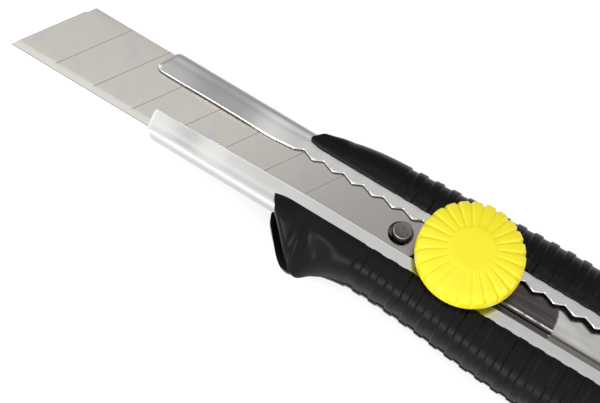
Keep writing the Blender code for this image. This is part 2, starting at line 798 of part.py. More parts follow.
def make_cap_spring():
    """The leaf spring under the tongue, which grips the channel's floor."""
    start = HANDLE_REAR_X - CAP_TONGUE
    middle = (FLOOR_STEP_Y - TROUGH_DEPTH - CHANNEL_INNER) / 2
    left = middle - CAP_SPRING_WIDTH / 2
    right = middle + CAP_SPRING_WIDTH / 2
    low = TROUGH_Z + GAP
    high = low + CAP_SPRING_THICKNESS
    return box("cap_spring", start, HANDLE_REAR_X, left, right, low, high, zinc_steel())


# ---------------------------------------------------------------- carriage

def make_carrier():
    """The carrier: a dark plate that steps down into the channel's trough, with a round tail."""
    front = STUD_X - CARRIER_NOSE
    tail = WHEEL_X + CARRIER_TAIL
    spine = CHANNEL_INNER - FLOOR_BEND
    rings = []
    for x in (front, tail):
        under = carrier_side(GAP, spine)
        over = carrier_side(GAP + CARRIER_THICKNESS, spine)
        rings.append([(x, y, z) for y, z in over + under[::-1]])
    carrier = loft("carrier_plate", rings, dark_steel(), sheet=True)
    cut(carrier, carrier_tail_tool(tail))
    low = TROUGH_Z
    high = BLADE_Z + MM
    cut(carrier, cylinder("stud hole", STUD_X, 0.0, STUD_SPIGOT_RADIUS + GAP, low, high))
    cut(carrier, cylinder("bolt hole", WHEEL_X, WHEEL_Y, BOLT_HEAD_RADIUS + GAP, low, high))
    return carrier


def carrier_side(above, spine):
    """One face of the carrier, at a distance above the channel's floor."""
    step = floor_step(above)
    high = RAISED_FLOOR_Z + above
    low = TROUGH_Z + above
    return [(spine, high), (step, high), (step - TROUGH_DEPTH, low), (CARRIER_FOOT_Y, low)]


def carrier_tail_tool(tail):
    """Rounds the carrier's tail off on the spine side."""
    reach = CHANNEL_HALF
    centre = (tail - reach, FLOOR_STEP_Y)
    outline = [(tail + MM, FLOOR_STEP_Y)]
    for i in range(TAIL_STEPS + 1):
        angle = math.pi / 2 * i / TAIL_STEPS
        outline.append((centre[0] + reach * math.cos(angle), centre[1] + reach * math.sin(angle)))
    outline += [(centre[0], reach + 2 * MM), (tail + MM, reach + 2 * MM)]
    return prism("carrier tail tool", outline, TROUGH_Z, BLADE_TOP_Z)


def make_stud():
    """The stud on the carrier that holds the blade by its hole."""
    steps = [
        (STUD_SPIGOT_RADIUS, CARRIER_Z),
        (STUD_SPIGOT_RADIUS, BLADE_Z),
        (STUD_RADIUS, BLADE_Z),
        (STUD_RADIUS, BLADE_TOP_Z + STUD_RISE - STUD_CHAMFER),
        (STUD_RADIUS - STUD_CHAMFER, BLADE_TOP_Z + STUD_RISE),
    ]
    stud = turned("blade_stud", STUD_X, 0.0, steps, dark_steel())
    smooth(stud)
    return stud


def make_lock_plate():
    """The lock plate: its tooth lies just under the rack, and rises into a valley."""
    low_y = EDGE_LIP_EDGE_Y + 2 * GAP
    high_y = RACK_TIP_Y - 2 * GAP
    left = WHEEL_X - LOCK_PLATE_HALF_LENGTH
    right = WHEEL_X + LOCK_PLATE_HALF_LENGTH
    valley = lock_valley()
    point_y = RACK_TIP_Y + TOOTH_DEPTH - LOCK_TOOTH_PLAY
    outline = [(left, low_y), (right, low_y), (right, high_y)]
    outline += [(valley + LOCK_TOOTH_SHALLOW, high_y), (valley, point_y)]
    outline += [(valley - LOCK_TOOTH_STEEP, high_y)]
    outline += [(left, high_y)]
    plate = prism("lock_plate", outline, BLADE_Z, BLADE_Z + LOCK_PLATE_THICKNESS, dark_steel())
    radius = BOLT_RADIUS + GAP
    low = CARRIER_Z
    high = LIP_UNDERSIDE_Z
    cut(plate, cylinder("lock plate hole", WHEEL_X, WHEEL_Y, radius, low, high, count=BORE_STEPS))
    return plate


def lock_valley():
    """The rack valley nearest to where the lock tooth should be."""
    first = RACK_START_X + TOOTH_STEEP_RUN
    n = round((WHEEL_X + LOCK_TOOTH_AFTER_WHEEL - first) / RACK_PITCH)
    return first + n * RACK_PITCH


def make_bolt():
    """The clamp bolt: its head sits in the carrier and its thread goes up into the wheel."""
    top = WHEEL_Z + WHEEL_HEIGHT - WHEEL_ROOF - LOCK_TRAVEL - 2 * GAP
    steps = [
        (BOLT_HEAD_RADIUS, CARRIER_Z),
        (BOLT_HEAD_RADIUS, CARRIER_Z + CARRIER_THICKNESS),
        (BOLT_RADIUS, CARRIER_Z + CARRIER_THICKNESS),
        (BOLT_RADIUS, top - BOLT_CHAMFER),
        (BOLT_RADIUS - BOLT_CHAMFER, top),
    ]
    bolt = turned("clamp_bolt", WHEEL_X, WHEEL_Y, steps, zinc_steel(), count=BORE_STEPS)
    smooth(bolt)
    return bolt


def make_pressure_plate():
    """The plate on top of both lips that the wheel bears on."""
    reach = CHANNEL_HALF - FLANGE_OVERLAP - GAP
    half = PRESSURE_PLATE_HALF_LENGTH
    low = LIP_TOP_Z + GAP
    high = low + PRESSURE_PLATE_THICKNESS
    steel = zinc_steel()
    plate = box("pressure_plate", WHEEL_X - half, WHEEL_X + half, -reach, reach, low, high, steel)
    radius = BOLT_RADIUS + GAP
    tool = cylinder("pressure plate hole", WHEEL_X, WHEEL_Y, radius, low - MM, high + MM, count=BORE_STEPS)
    cut(plate, tool)
    return plate


def make_washer():
    """The spring washer between the pressure plate and the wheel."""
    low = LIP_TOP_Z + 2 * GAP + PRESSURE_PLATE_THICKNESS
    high = low + WASHER_THICKNESS
    steel = zinc_steel()
    washer = cylinder("spring_washer", WHEEL_X, WHEEL_Y, WASHER_RADIUS, low, high, steel)
    radius = BOLT_RADIUS + GAP
    tool = cylinder("washer hole", WHEEL_X, WHEEL_Y, radius, low - MM, high + MM, count=BORE_STEPS)
    cut(washer, tool)
    smooth(washer)
    return washer


# ---------------------------------------------------------------- wheel

def make_wheel():
    """The wheel: ribs run from a flat face out to the rim, over a hub with a blind bore."""
    base = WHEEL_Z
    top = base + WHEEL_HEIGHT
    rim_top = top - WHEEL_RIM_DROP
    bore = INSERT_RADIUS + GAP
    hub_z = LIP_TOP_Z + 3 * GAP + PRESSURE_PLATE_THICKNESS + WASHER_THICKNESS
    hub = WASHER_RADIUS + GAP
    steps = [
        (bore, top - WHEEL_ROOF, 0.0, 0.0),
        (bore, hub_z, 0.0, 0.0),
        (hub, hub_z, 0.0, 0.0),
        (hub, base, 0.0, 0.0),
        (WHEEL_RADIUS - WHEEL_FOOT_ROUND, base, 0.0, 0.0),
        (WHEEL_RADIUS, base + WHEEL_FOOT_HEIGHT, 0.0, 0.0),
        (WHEEL_RADIUS, rim_top - WHEEL_RIM_SLOPE, WHEEL_RIB_HEIGHT, 0.0),
        (WHEEL_RADIUS - WHEEL_SHOULDER, rim_top, WHEEL_RIB_HEIGHT, WHEEL_RIB_HEIGHT),
        (WHEEL_FACE_RADIUS, top, 0.0, 0.0),
    ]
    rings = []
    for radius, z, inward, down in steps:
        ring = []
        for i, (x, y) in enumerate(circle(0.0, 0.0, radius, 2 * WHEEL_RIBS)):
            shrink = 1 - inward / radius if i % 2 else 1.0
            drop = down if i % 2 else 0.0
            ring.append((WHEEL_X + x * shrink, WHEEL_Y + y * shrink, z - drop))
        rings.append(ring)
    return loft("wheel", rings, yellow_plastic())


def make_insert():
    """The brass insert moulded into the wheel, threaded for the bolt."""
    low = LIP_TOP_Z + 3 * GAP + PRESSURE_PLATE_THICKNESS + WASHER_THICKNESS
    high = WHEEL_Z + WHEEL_HEIGHT - WHEEL_ROOF - GAP
    insert = cylinder("wheel_insert", WHEEL_X, WHEEL_Y, INSERT_RADIUS, low, high, brass())
    radius = BOLT_RADIUS + GAP
    tool = cylinder("insert bore", WHEEL_X, WHEEL_Y, radius, low - MM, high + MM, count=BORE_STEPS)
    cut(insert, tool)
    smooth(insert)
    return insert


# ---------------------------------------------------------------- the whole knife

def clear_scene():
    for old in list(bpy.data.objects):
        bpy.data.objects.remove(old, do_unlink=True)


def build():
    clear_scene()
    make_core()
    make_channel()
    make_grip("grip_spine", 1)
    make_grip("grip_edge", -1)
    make_pad()
    make_screws()

    carriage = pivot("carriage_slide", (WHEEL_X, 0.0, CARRIER_Z))
    for piece in (make_carrier(), make_stud(), make_blade()):
        hang(piece, carriage)
    for piece in (make_pressure_plate(), make_washer()):
        hang(piece, carriage)

    wheel_axis = pivot("wheel_axis", (WHEEL_X, WHEEL_Y, WHEEL_Z), carriage)
    for piece in (make_wheel(), make_insert()):
        hang(piece, wheel_axis)

    lock_axis = pivot("lock_axis", (WHEEL_X, WHEEL_Y, CARRIER_Z), carriage)
    for piece in (make_lock_plate(), make_bolt()):
        hang(piece, lock_axis)

    cap_axis = pivot("cap_slide", (HANDLE_REAR_X, 0.0, CARRIER_Z))
    for piece in (make_cap(), make_cap_spring()):
        hang(piece, cap_axis)


build()
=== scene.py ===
"""A snap-off utility knife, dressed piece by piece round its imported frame, in the order
in which the knife is put together. Lengths are in millimetres until a mesh is made.
"""
import math

import bmesh
import bpy
import numpy as np
from mathutils import Matrix, Vector


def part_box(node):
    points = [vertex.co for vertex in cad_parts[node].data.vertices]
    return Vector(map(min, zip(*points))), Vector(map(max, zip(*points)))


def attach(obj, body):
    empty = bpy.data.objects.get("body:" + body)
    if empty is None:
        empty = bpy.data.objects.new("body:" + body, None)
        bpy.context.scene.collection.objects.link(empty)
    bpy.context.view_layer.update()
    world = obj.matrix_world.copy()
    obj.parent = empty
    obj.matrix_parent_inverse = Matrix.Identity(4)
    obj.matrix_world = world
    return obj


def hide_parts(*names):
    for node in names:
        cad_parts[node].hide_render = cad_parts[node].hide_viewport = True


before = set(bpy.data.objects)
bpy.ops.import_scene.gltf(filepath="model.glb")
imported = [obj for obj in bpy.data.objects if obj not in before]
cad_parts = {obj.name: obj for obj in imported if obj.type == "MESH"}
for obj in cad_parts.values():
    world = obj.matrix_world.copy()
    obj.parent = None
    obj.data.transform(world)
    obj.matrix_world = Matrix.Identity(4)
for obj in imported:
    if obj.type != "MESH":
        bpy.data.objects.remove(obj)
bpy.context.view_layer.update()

# ------------------------------------------------------------------ lower shell
# The hard lower half of the handle, moulded in one piece from black nylon. The channel
# lies in the seat along its top, the grips stand on its rim, and a shallow recess in its
# underside takes the pad.

MM = 0.001


def extent(node):
    """The lowest and highest corner of a part, in millimetres."""
    low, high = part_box(node)
    return np.array(low) / MM, np.array(high) / MM


HANDLE_FRONT = extent("grip_spine")[0][0]
HANDLE_END = extent("end_cap")[1][0]
HANDLE_TOP = extent("grip_spine")[1][2]
CHANNEL_LOW, CHANNEL_HIGH = extent("channel")
CHANNEL_HALF = CHANNEL_HIGH[1]
LIP_TOP = CHANNEL_HIGH[2]
SHELL_LOW, SHELL_HIGH = extent("handle_core")
PARTING = 6.0
UNDERSIDE_HALF = 9.5
FLOOR_STEP_Y = -0.7
TROUGH_DEPTH = 0.9
SHEET = 0.7
GAP = 0.25

# how far the handle stands out past the channel, at distances from its front end
STANDOUT = {
    1: [(0, 1.0), (10, 4.5), (25, 6.0), (69, 8.3), (128, 5.0)],
    -1: [(0, 1.0), (10.9, 9.0), (15, 6.2), (25, 4.45), (69, 7.65), (128, 5.0)],
}


def smooth_run(x, knots):
    """Height at x through the knots: a cubic on each span, whose slope at a knot is the
    harmonic mean of the two chords that meet there, or level where they turn round.
    """
    kx, ky = np.array(knots, float).T
    chord = np.diff(ky) / np.diff(kx)
    product = chord[:-1] * chord[1:]
    total = np.where(product > 0, chord[:-1] + chord[1:], 1.0)
    slope = np.concatenate(([chord[0]], np.where(product > 0, 2 * product / total, 0.0), [0.0]))
    x = np.clip(x, kx[0], kx[-1])
    i = np.clip(np.searchsorted(kx, x, side="right") - 1, 0, len(kx) - 2)
    run = kx[i + 1] - kx[i]
    t = (x - kx[i]) / run
    bow = run * t * (1 - t) * ((1 - t) * slope[i] - t * slope[i + 1])
    return ky[i] + (ky[i + 1] - ky[i]) * t * t * (3 - 2 * t) + bow


def half_width(side, x):
    """Distance of the handle's side from the middle line at x; side is 1 spine, -1 edge."""
    return CHANNEL_HALF + smooth_run(x - HANDLE_FRONT, STANDOUT[side])


RIB_PITCH, GROOVE_WIDTH, GROOVE_DEPTH = 4.05, 2.25, 0.35
GROOVES_START = 23.0
GRIP_REAR = extent("grip_spine")[1][0]


def rib_stations(side, front):
    """Places along a grip from its front end, crowded at the front and even where the
    grooves are, and the depth of the grooves at each: one in each pitch, whose flanks
    ease in and out.
    """
    first = HANDLE_FRONT + GROOVES_START - (0.8 if side > 0 else 0.0)
    last = first + RIB_PITCH * int((GRIP_REAR - 4.0 - first) // RIB_PITCH)
    head = front + (first - front) * np.linspace(0, 1, 46, endpoint=False) ** 1.25
    x = np.concatenate([head, np.arange(first, GRIP_REAR, 0.16), [GRIP_REAR]])
    along = (x - first) % RIB_PITCH
    flank = np.clip(np.minimum(along, GROOVE_WIDTH - along) / 0.32, 0, 1)
    depth = GROOVE_DEPTH * flank * flank * (3 - 2 * flank)
    return x, np.where((x < first) | (x > last), 0.0, depth)


def parting(x):
    """Height of the joint line between shell and grips: level, and rising at the front."""
    rise = np.clip(1 - (x - HANDLE_FRONT) / 10, 0, 1)
    return PARTING + 2.3 * rise * rise * (3 - 2 * rise)


def skin(name, points, ends="flat", sharp=35.0):
    """A closed solid over points[i, j]: row i is a closed ring and neighbouring rows are
    joined by quads. The end rings are filled flat, as a sheet's two faces, or by a fan
    about their middle.
    """
    rows, columns = points.shape[:2]
    index = np.arange(rows * columns).reshape(rows, columns)
    near, far = index[:-1], index[1:]
    quads = [near, np.roll(near, -1, 1), np.roll(far, -1, 1), far]
    faces = np.stack(quads, -1).reshape(-1, 4).tolist()
    places = points.reshape(-1, 3)
    for row in (index[0], index[-1]):
        if ends == "flat":
            faces.append(row.tolist())
        elif ends == "sheet":
            half = columns // 2
            back = row[::-1]
            strip = [row[: half - 1], row[1:half], back[1:half], back[: half - 1]]
            faces += np.stack(strip, -1).tolist()
        else:
            middle = len(places)
            places = np.vstack([places, places[row].mean(0)])
            fan = [row, np.roll(row, -1), np.full(columns, middle)]
            faces += np.stack(fan, -1).tolist()
    mesh = bpy.data.meshes.new(name)
    mesh.from_pydata((places * MM).tolist(), [], faces)
    piece = bpy.data.objects.new(name, mesh)
    bpy.context.scene.collection.objects.link(piece)
    face_outwards(piece)
    mesh.shade_smooth()
    mesh.set_sharp_from_angle(angle=math.radians(sharp))
    return piece


def face_outwards(piece):
    """Merges doubled points and turns every face outwards."""
    work = bmesh.new()
    work.from_mesh(piece.data)
    bmesh.ops.remove_doubles(work, verts=work.verts, dist=1e-7)
    bmesh.ops.recalc_face_normals(work, faces=work.faces)
    work.to_mesh(piece.data)
    work.free()


def prism(name, outline, low, high):
    """A plan outline raised from one height to another."""
    flat = np.array(outline, float)
    rings = [np.column_stack([flat, np.full(len(flat), z)]) for z in (low, high)]
    return skin(name, np.array(rings))


def carve(piece, tool, operation="DIFFERENCE", sharp=35.0):
    """Cuts a tool out of a piece, or joins it on, and keeps the result as its mesh."""
    step = piece.modifiers.new("carve", "BOOLEAN")
    step.operation = operation
    step.object = tool
    step.solver = "EXACT"
    bpy.context.view_layer.update()
    result = piece.evaluated_get(bpy.context.evaluated_depsgraph_get())
    made = bpy.data.meshes.new_from_object(result)
    piece.modifiers.clear()
    piece.data = made
    piece.data.materials.clear()
    bpy.data.objects.remove(tool)
    made.shade_smooth()
    made.set_sharp_from_angle(angle=math.radians(sharp))
    return piece


class Shade:
    """A socket of a material's node tree. Python's operators on it add Math nodes."""

    def __init__(self, tree, socket=None):
        self.tree, self.socket = tree, socket

    def node(self, kind, settings=None, sockets=None, output=0):
        """Any node: its type, its settings or ramp stops, then its sockets' values."""
        made = self.tree.nodes.new("ShaderNode" + kind)
        for key, value in (settings or {}).items():
            if key == "stops":
                ramp = made.color_ramp.elements
                while len(ramp) < len(value):
                    ramp.new(0.5)
                for element, (place, colour) in zip(ramp, value):
                    element.position, element.color = place, (*colour, 1.0)
            else:
                setattr(made, key, value)
        for key, value in (sockets or {}).items():
            if isinstance(value, Shade):
                self.tree.links.new(value.socket, made.inputs[key])
            else:
                made.inputs[key].default_value = value
        return Shade(self.tree, made.outputs[output])

    def maths(self, operation, *values):
        return self.node("Math", {"operation": operation}, dict(enumerate(values)))

    def __add__(self, other):
        return self.maths("ADD", self, other)

    def __sub__(self, other):
        return self.maths("SUBTRACT", self, other)

    def __rsub__(self, other):
        return self.maths("SUBTRACT", other, self)

    def __mul__(self, other):
        return self.maths("MULTIPLY", self, other)

    def __mod__(self, other):
        return self.maths("FLOORED_MODULO", self, other)

    __radd__, __rmul__ = __add__, __mul__

    def within(self, low, high):
        """0 below low, 1 above high, and a smooth rise between; low may be the larger."""
        settings = {"interpolation_type": "SMOOTHSTEP"}
        if low < high:
            return self.node("MapRange", settings, {0: self, 1: low, 2: high})
        return self.node("MapRange", settings, {0: self, 1: high, 2: low, 3: 1.0, 4: 0.0})

    def between(self, colour, other):
        """A colour that goes from one to the other as this value goes from 0 to 1."""
        given = [c if isinstance(c, Shade) else (*c, 1.0) for c in (colour, other)]
        settings = {"data_type": "RGBA"}
        return self.node("Mix", settings, {0: self, 6: given[0], 7: given[1]}, 2)

    def axis(self, letter):
        return self.node("SeparateXYZ", {}, {0: self}, letter)

    def stretched(self, x, y, z):
        """Coordinates scaled along each axis."""
        return self.node("VectorMath", {"operation": "MULTIPLY"}, {0: self, 1: (x, y, z)})

    def noise(self, scale, detail=2.0, roughness=0.5):
        sockets = {"Vector": self, "Scale": scale, "Detail": detail, "Roughness": roughness}
        return self.node("TexNoise", {}, sockets)


class Finish:
    """A material: constants on its shader, and coordinates over the knife in millimetres."""

    def __init__(self, name, **constants):
        self.material = bpy.data.materials.new(name)
        self.material.use_nodes = True
        self.shader = self.material.node_tree.nodes["Principled BSDF"]
        for key, value in constants.items():
            self.shader.inputs[key.replace("_", " ")].default_value = value
        root = Shade(self.material.node_tree)
        place = root.node("TexCoord", {}, {}, "Object")
        self.place = place.stretched(1 / MM, 1 / MM, 1 / MM)

    def feed(self, name, shade):
        self.material.node_tree.links.new(shade.socket, self.shader.inputs[name])

    def bump(self, height, distance):
        """Relief of so many millimetres where the height goes from 0 to 1."""
        sockets = {"Height": height, "Distance": distance * MM, "Strength": 1.0}
        self.feed("Normal", height.node("Bump", {}, sockets))

    def put_on(self, *pieces):
        for piece in pieces:
            if piece.material_slots:
                piece.material_slots[0].material = self.material
            else:
                piece.data.materials.append(self.material)


def place_piece(piece, body, slot, *nodes):
    """The piece rides on its body and stands for its nodes. Its slot is not used."""
    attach(piece, body)
    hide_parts(*nodes)


def black_moulding(name, base, roughness, sparkle, spread):
    """Black plastic or rubber: a fine spark-eroded grain, with faint dusty patches."""
    finish = Finish(name, Specular_IOR_Level=0.16)
    grain = finish.place.noise(5.5, 3.0, 0.6)
    patches = finish.place.noise(0.09, 3.0, 0.6)
    dark = tuple(0.6 * c for c in base)
    finish.feed("Base Color", patches.within(0.35, 0.7).between(dark, base))
    finish.feed("Roughness", roughness + spread * (patches - 0.5))
    finish.bump(grain, sparkle)
    return finish


black_nylon = black_moulding("black nylon", (0.004, 0.004, 0.0042), 0.38, 0.012, 0.16)

FRONT_ROUND, FRONT_ROUND_RUN = 1.0, 2.2
FRONT_LEAN, FRONT_LEAN_RUN = 0.5, 14.0

x, edge_ribs = rib_stations(-1, SHELL_LOW[0])
spine_ribs = np.interp(x, *rib_stations(1, SHELL_LOW[0]))
front = np.clip(1 - (x - SHELL_LOW[0]) / FRONT_ROUND_RUN, 0, 1)
tuck = FRONT_ROUND * (1 - np.sqrt(1 - front**2))
turn = np.linspace(0, np.pi / 2, 14)


def belly(side, width, tuck, ribs):
    """A quarter ellipse from the rim at the parting down to the flat underside, with the
    ribs of the rim dying out on the way.
    """
    reach = (width - tuck - UNDERSIDE_HALF)[:, None] * np.cos(turn)
    fall = (parting(x) - SHELL_LOW[2] - tuck)[:, None]
    across = UNDERSIDE_HALF + reach - ribs[:, None] * np.cos(turn) ** 3
    return side * across, parting(x)[:, None] - fall * np.sin(turn)


seat = CHANNEL_LOW[2] - GAP
step_y = FLOOR_STEP_Y + (SHEET + GAP) * math.tan(math.pi / 8)
seat_y = [CHANNEL_HALF, CHANNEL_HALF, step_y, step_y - TROUGH_DEPTH, -CHANNEL_HALF, -CHANNEL_HALF]
seat_z = [PARTING, seat + TROUGH_DEPTH, seat + TROUGH_DEPTH, seat, seat, PARTING]
edge_y, edge_z = belly(-1, half_width(-1, x), tuck, edge_ribs)
spine_y, spine_z = belly(1, half_width(1, x), tuck, spine_ribs)
ring_y = np.hstack([np.tile(seat_y, (len(x), 1)), edge_y, spine_y[:, ::-1]])
ring_z = np.hstack([np.tile(seat_z, (len(x), 1)), edge_z, spine_z[:, ::-1]])
ring_z[:, 0] = ring_z[:, len(seat_z) - 1] = parting(x)
fade = np.clip(1 - (x[:, None] - SHELL_LOW[0]) / FRONT_LEAN_RUN, 0, 1)
ring_x = x[:, None] + FRONT_LEAN * fade * np.clip(PARTING - ring_z, 0, None)
# the finger guard's front is scooped back between the channel's side and its outer corner
SCOOP_DEPTH, SCOOP_INNER, SCOOP_WIDTH = 1.2, CHANNEL_HALF + 0.4, 9.0
scoop = np.sin(np.pi * np.clip((-ring_y - SCOOP_INNER) / SCOOP_WIDTH, 0, 1)) ** 0.6
ring_x = ring_x + SCOOP_DEPTH * fade * scoop * np.clip((ring_z - 1.0) / 4.0, 0, 1)
ring_y = np.clip(ring_y, SHELL_LOW[1], SHELL_HIGH[1])
shell = skin("lower_shell", np.stack([ring_x, ring_y, ring_z], -1))

PAD_HIGH = extent("underside_pad")[1]


def stadium(half_length, radius, steps=24):
    """A slab's outline: two half circles, the same distance either side of the middle."""
    turn = np.linspace(-np.pi / 2, np.pi / 2, steps)
    reach = half_length - radius
    end = np.column_stack([reach + radius * np.cos(turn), radius * np.sin(turn)])
    return np.vstack([end, -end])


recess = stadium(PAD_HIGH[0] + GAP, PAD_HIGH[1] + GAP)
carve(shell, prism("pad recess", recess, -1.0, PAD_HIGH[2] + GAP))
black_nylon.put_on(shell)
place_piece(shell, "handle", "black_nylon", "handle_core")

# ------------------------------------------------------------------ channel
# The blade's channel: one strip of 0.7 mm stainless sheet folded into two lips, two walls
# and a floor with a step. The rack is stamped into the spine-side lip, and the mouth is
# cut on a slant.

LENGTH = CHANNEL_HIGH[0] - CHANNEL_LOW[0]
SPINE_EDGE, RACK_TIP = 3.45, 3.9
RACK_START = HANDLE_FRONT - 2.0 - CHANNEL_LOW[0]
RACK_PITCH, RACK_TEETH, TOOTH_DEPTH = 5.08, 18, 1.05
EDGE_FRONT, EDGE_EDGE = -5.0, -4.05
SPINE_BEND, EDGE_BEND, FLOOR_BEND = 1.7, 1.0, 1.2
BURR = 0.13
LIP_SHARES = np.array([1.0, 0.97, 0.92, 0.86, 0.78, 0.66, 0.5, 0.32, 0.15])


def rack_line(x):
    """Where the spine lip ends: straight from the mouth, then a saw of straight flanks,
    each corner rounded by averaging the line over a short run.
    """
    along = (x - RACK_START) % RACK_PITCH
    rise = np.interp(along, [0.2, 2.2, RACK_PITCH - 0.2], [0, TOOTH_DEPTH, 0])
    rise = np.where((x < RACK_START) | (x > RACK_START + RACK_PITCH * RACK_TEETH), 0.0, rise)
    lead = np.interp(x, [RACK_START - RACK_PITCH, RACK_START - 0.2], [SPINE_EDGE, RACK_TIP])
    return lead + rise


def rounded_rack(x):
    return sum(rack_line(x + shift) for shift in (-0.24, -0.12, 0.0, 0.12, 0.24)) / 5


def bend(centre_y, centre_z, radius, start, end, steps=9):
    """Points along an arc, seen from the front, with angles in degrees."""
    turn = np.radians(np.linspace(start, end, steps))
    return np.column_stack([centre_y + radius * np.cos(turn), centre_z + radius * np.sin(turn)])


def channel_face(depth):
    """One face of the sheet from lip to lip, with how far each point follows each lip."""
    half, low = CHANNEL_HALF, CHANNEL_LOW[2] + depth
    step = FLOOR_STEP_Y - (depth - SHEET) * math.tan(math.pi / 8)
    top = LIP_TOP - depth
    share = LIP_SHARES
    spine_flat = half - SPINE_BEND + share * (SPINE_EDGE - half + SPINE_BEND)
    edge_flat = EDGE_BEND - half + share[::-1] * (EDGE_FRONT + half - EDGE_BEND)
    parts = [
        np.column_stack([spine_flat, np.full(len(share), top)]),
        bend(half - SPINE_BEND, LIP_TOP - SPINE_BEND, SPINE_BEND - depth, 90, 0),
        bend(half - FLOOR_BEND, CHANNEL_LOW[2] + TROUGH_DEPTH + FLOOR_BEND,
             FLOOR_BEND - depth, 0, -90),
        [(step + 0.15, low + TROUGH_DEPTH), (step - 0.1, low + TROUGH_DEPTH - 0.06)],
        [(step - TROUGH_DEPTH + 0.1, low + 0.06), (step - TROUGH_DEPTH - 0.15, low)],
        bend(FLOOR_BEND - half, CHANNEL_LOW[2] + FLOOR_BEND, FLOOR_BEND - depth, -90, -180),
        bend(EDGE_BEND - half, LIP_TOP - EDGE_BEND, EDGE_BEND - depth, 180, 90),
        np.column_stack([edge_flat, np.full(len(share), top)]),
    ]
    line = np.vstack(parts)
    follow = np.zeros((len(line), 2))
    follow[: len(share), 0] = share
    follow[-len(share):, 1] = share[::-1]
    return line, follow


def cut_edge(face, follow, depth):
    """Adds a face's two end points, where the cut edge's small round begins."""
    line = face.copy()
    ends = line[[0, -1]].copy()
    line[0, 0] += BURR
    line[-1, 0] -= BURR
    inward = BURR if depth == 0 else -BURR
    ends[:, 1] -= inward
    return np.vstack([ends[:1], line, ends[1:]]), np.vstack([follow[:1], follow, follow[-1:]])


def mouth_setback(y, z):
    """How far behind the foremost point the sheet starts at each place round the section:
    a round corner and a slant on the spine lip, nearly square on the edge lip, and a
    slant from wall to wall along the floor.
    """
    corner = 1.45 - np.sqrt(np.clip(1.7**2 - (y - SPINE_EDGE - 1.7) ** 2, 0, None))
    spine_lip = np.where(y < 4.57, corner, (y - 4.57) * 0.46 - 0.15)
    edge_lip = np.interp(y, [-11.3, -6.0, -5.35, EDGE_FRONT], [6.4, 5.4, 5.45, 6.0])
    floor = 3.2 + 4.2 * (CHANNEL_HALF + 1 - y) / (2 * CHANNEL_HALF + 2)
    lip = np.where(y > 0, spine_lip, edge_lip)
    share = np.clip((z - LIP_TOP + 1.7) / 1.0, 0, 1)
    return floor + (lip - floor) * share


def swell(x, knots):
    """Height at x through the knots, level at each one and easing between them."""
    kx, ky = np.array(knots, float).T
    i = np.clip(np.searchsorted(kx, x, side="right") - 1, 0, len(kx) - 2)
    t = np.clip((x - kx[i]) / (kx[i + 1] - kx[i]), 0, 1)
    return ky[i] + (ky[i + 1] - ky[i]) * t * t * (3 - 2 * t)


outer, outer_follow = cut_edge(*channel_face(0.0), 0.0)
inner, inner_follow = cut_edge(*channel_face(SHEET), SHEET)
line = np.vstack([outer, inner[::-1]])
follow = np.vstack([outer_follow, inner_follow[::-1]])
setback = mouth_setback(line[:, 0], line[:, 1])
run = np.concatenate([[0, 0.12], np.linspace(1, 24, 30), np.arange(24.3, LENGTH, 0.2), [LENGTH]])
x = run[:, None] + setback * np.clip(1 - run / 24, 0, 1)[:, None]
spine_shift = rounded_rack(x) - SPINE_EDGE
edge_shift = np.interp(x, [0, 45], [EDGE_FRONT, EDGE_EDGE]) - EDGE_FRONT
y = line[:, 0] + follow[:, 0] * spine_shift + follow[:, 1] * edge_shift
z = np.broadcast_to(line[:, 1], y.shape).copy()

# the lips of a folded strip are never quite flat: each one dips and twists a little
spine_dip = swell(x, [(0, 0.02), (5, -0.02), (13, -0.26), (20, -0.2), (29, 0.26), (36, 0.12),
                      (60, 0.1), (90, 0.05)])
edge_dip = swell(x, [(0, -0.44), (7, -0.38), (15, -0.1), (21.5, -0.4), (27, -0.19),
                     (36, -0.17), (60, -0.08), (90, 0.0)])
crease = np.exp(-(((follow.sum(1) - 0.2) / 0.08) ** 2)) * 0.07
z -= crease
z -= follow[:, 0] * spine_dip + follow[:, 1] * edge_dip
z[0] += np.where(np.arange(len(line)) < len(outer), -0.08, 0.08)
points = np.stack([x + CHANNEL_LOW[0], y, z], -1)
channel = skin("steel_channel", points, "sheet", 40.0)


def mark(piece, name, values):
    """Keeps a value from 0 to 1 at each of the piece's points for its finish to read."""
    values = np.resize(values, len(piece.data.vertices)).astype(np.float32)
    piece.data.attributes.new(name, "FLOAT", "POINT").data.foreach_set("value", values)


# the points of the lips' cut edges and of the mouth's front, where a highlight is painted
rim = np.zeros(points.shape[:2])
rim[:, [0, 1, len(outer) - 2, len(outer) - 1]] = 1
rim[:2, : len(outer)] = 1
mark(channel, "rim", rim.ravel())

stainless = Finish("satin stainless", Metallic=1.0)
place = stainless.place
streaks = place.stretched(0.05, 1.8, 1.8).noise(1.0, 4.0, 0.6)
clouds = place.noise(0.11, 2.0)
tone = streaks.between((0.72, 0.72, 0.71), (0.78, 0.78, 0.775))
tone = (clouds.within(0.35, 0.75) * 0.35).between(tone, (0.68, 0.67, 0.65))
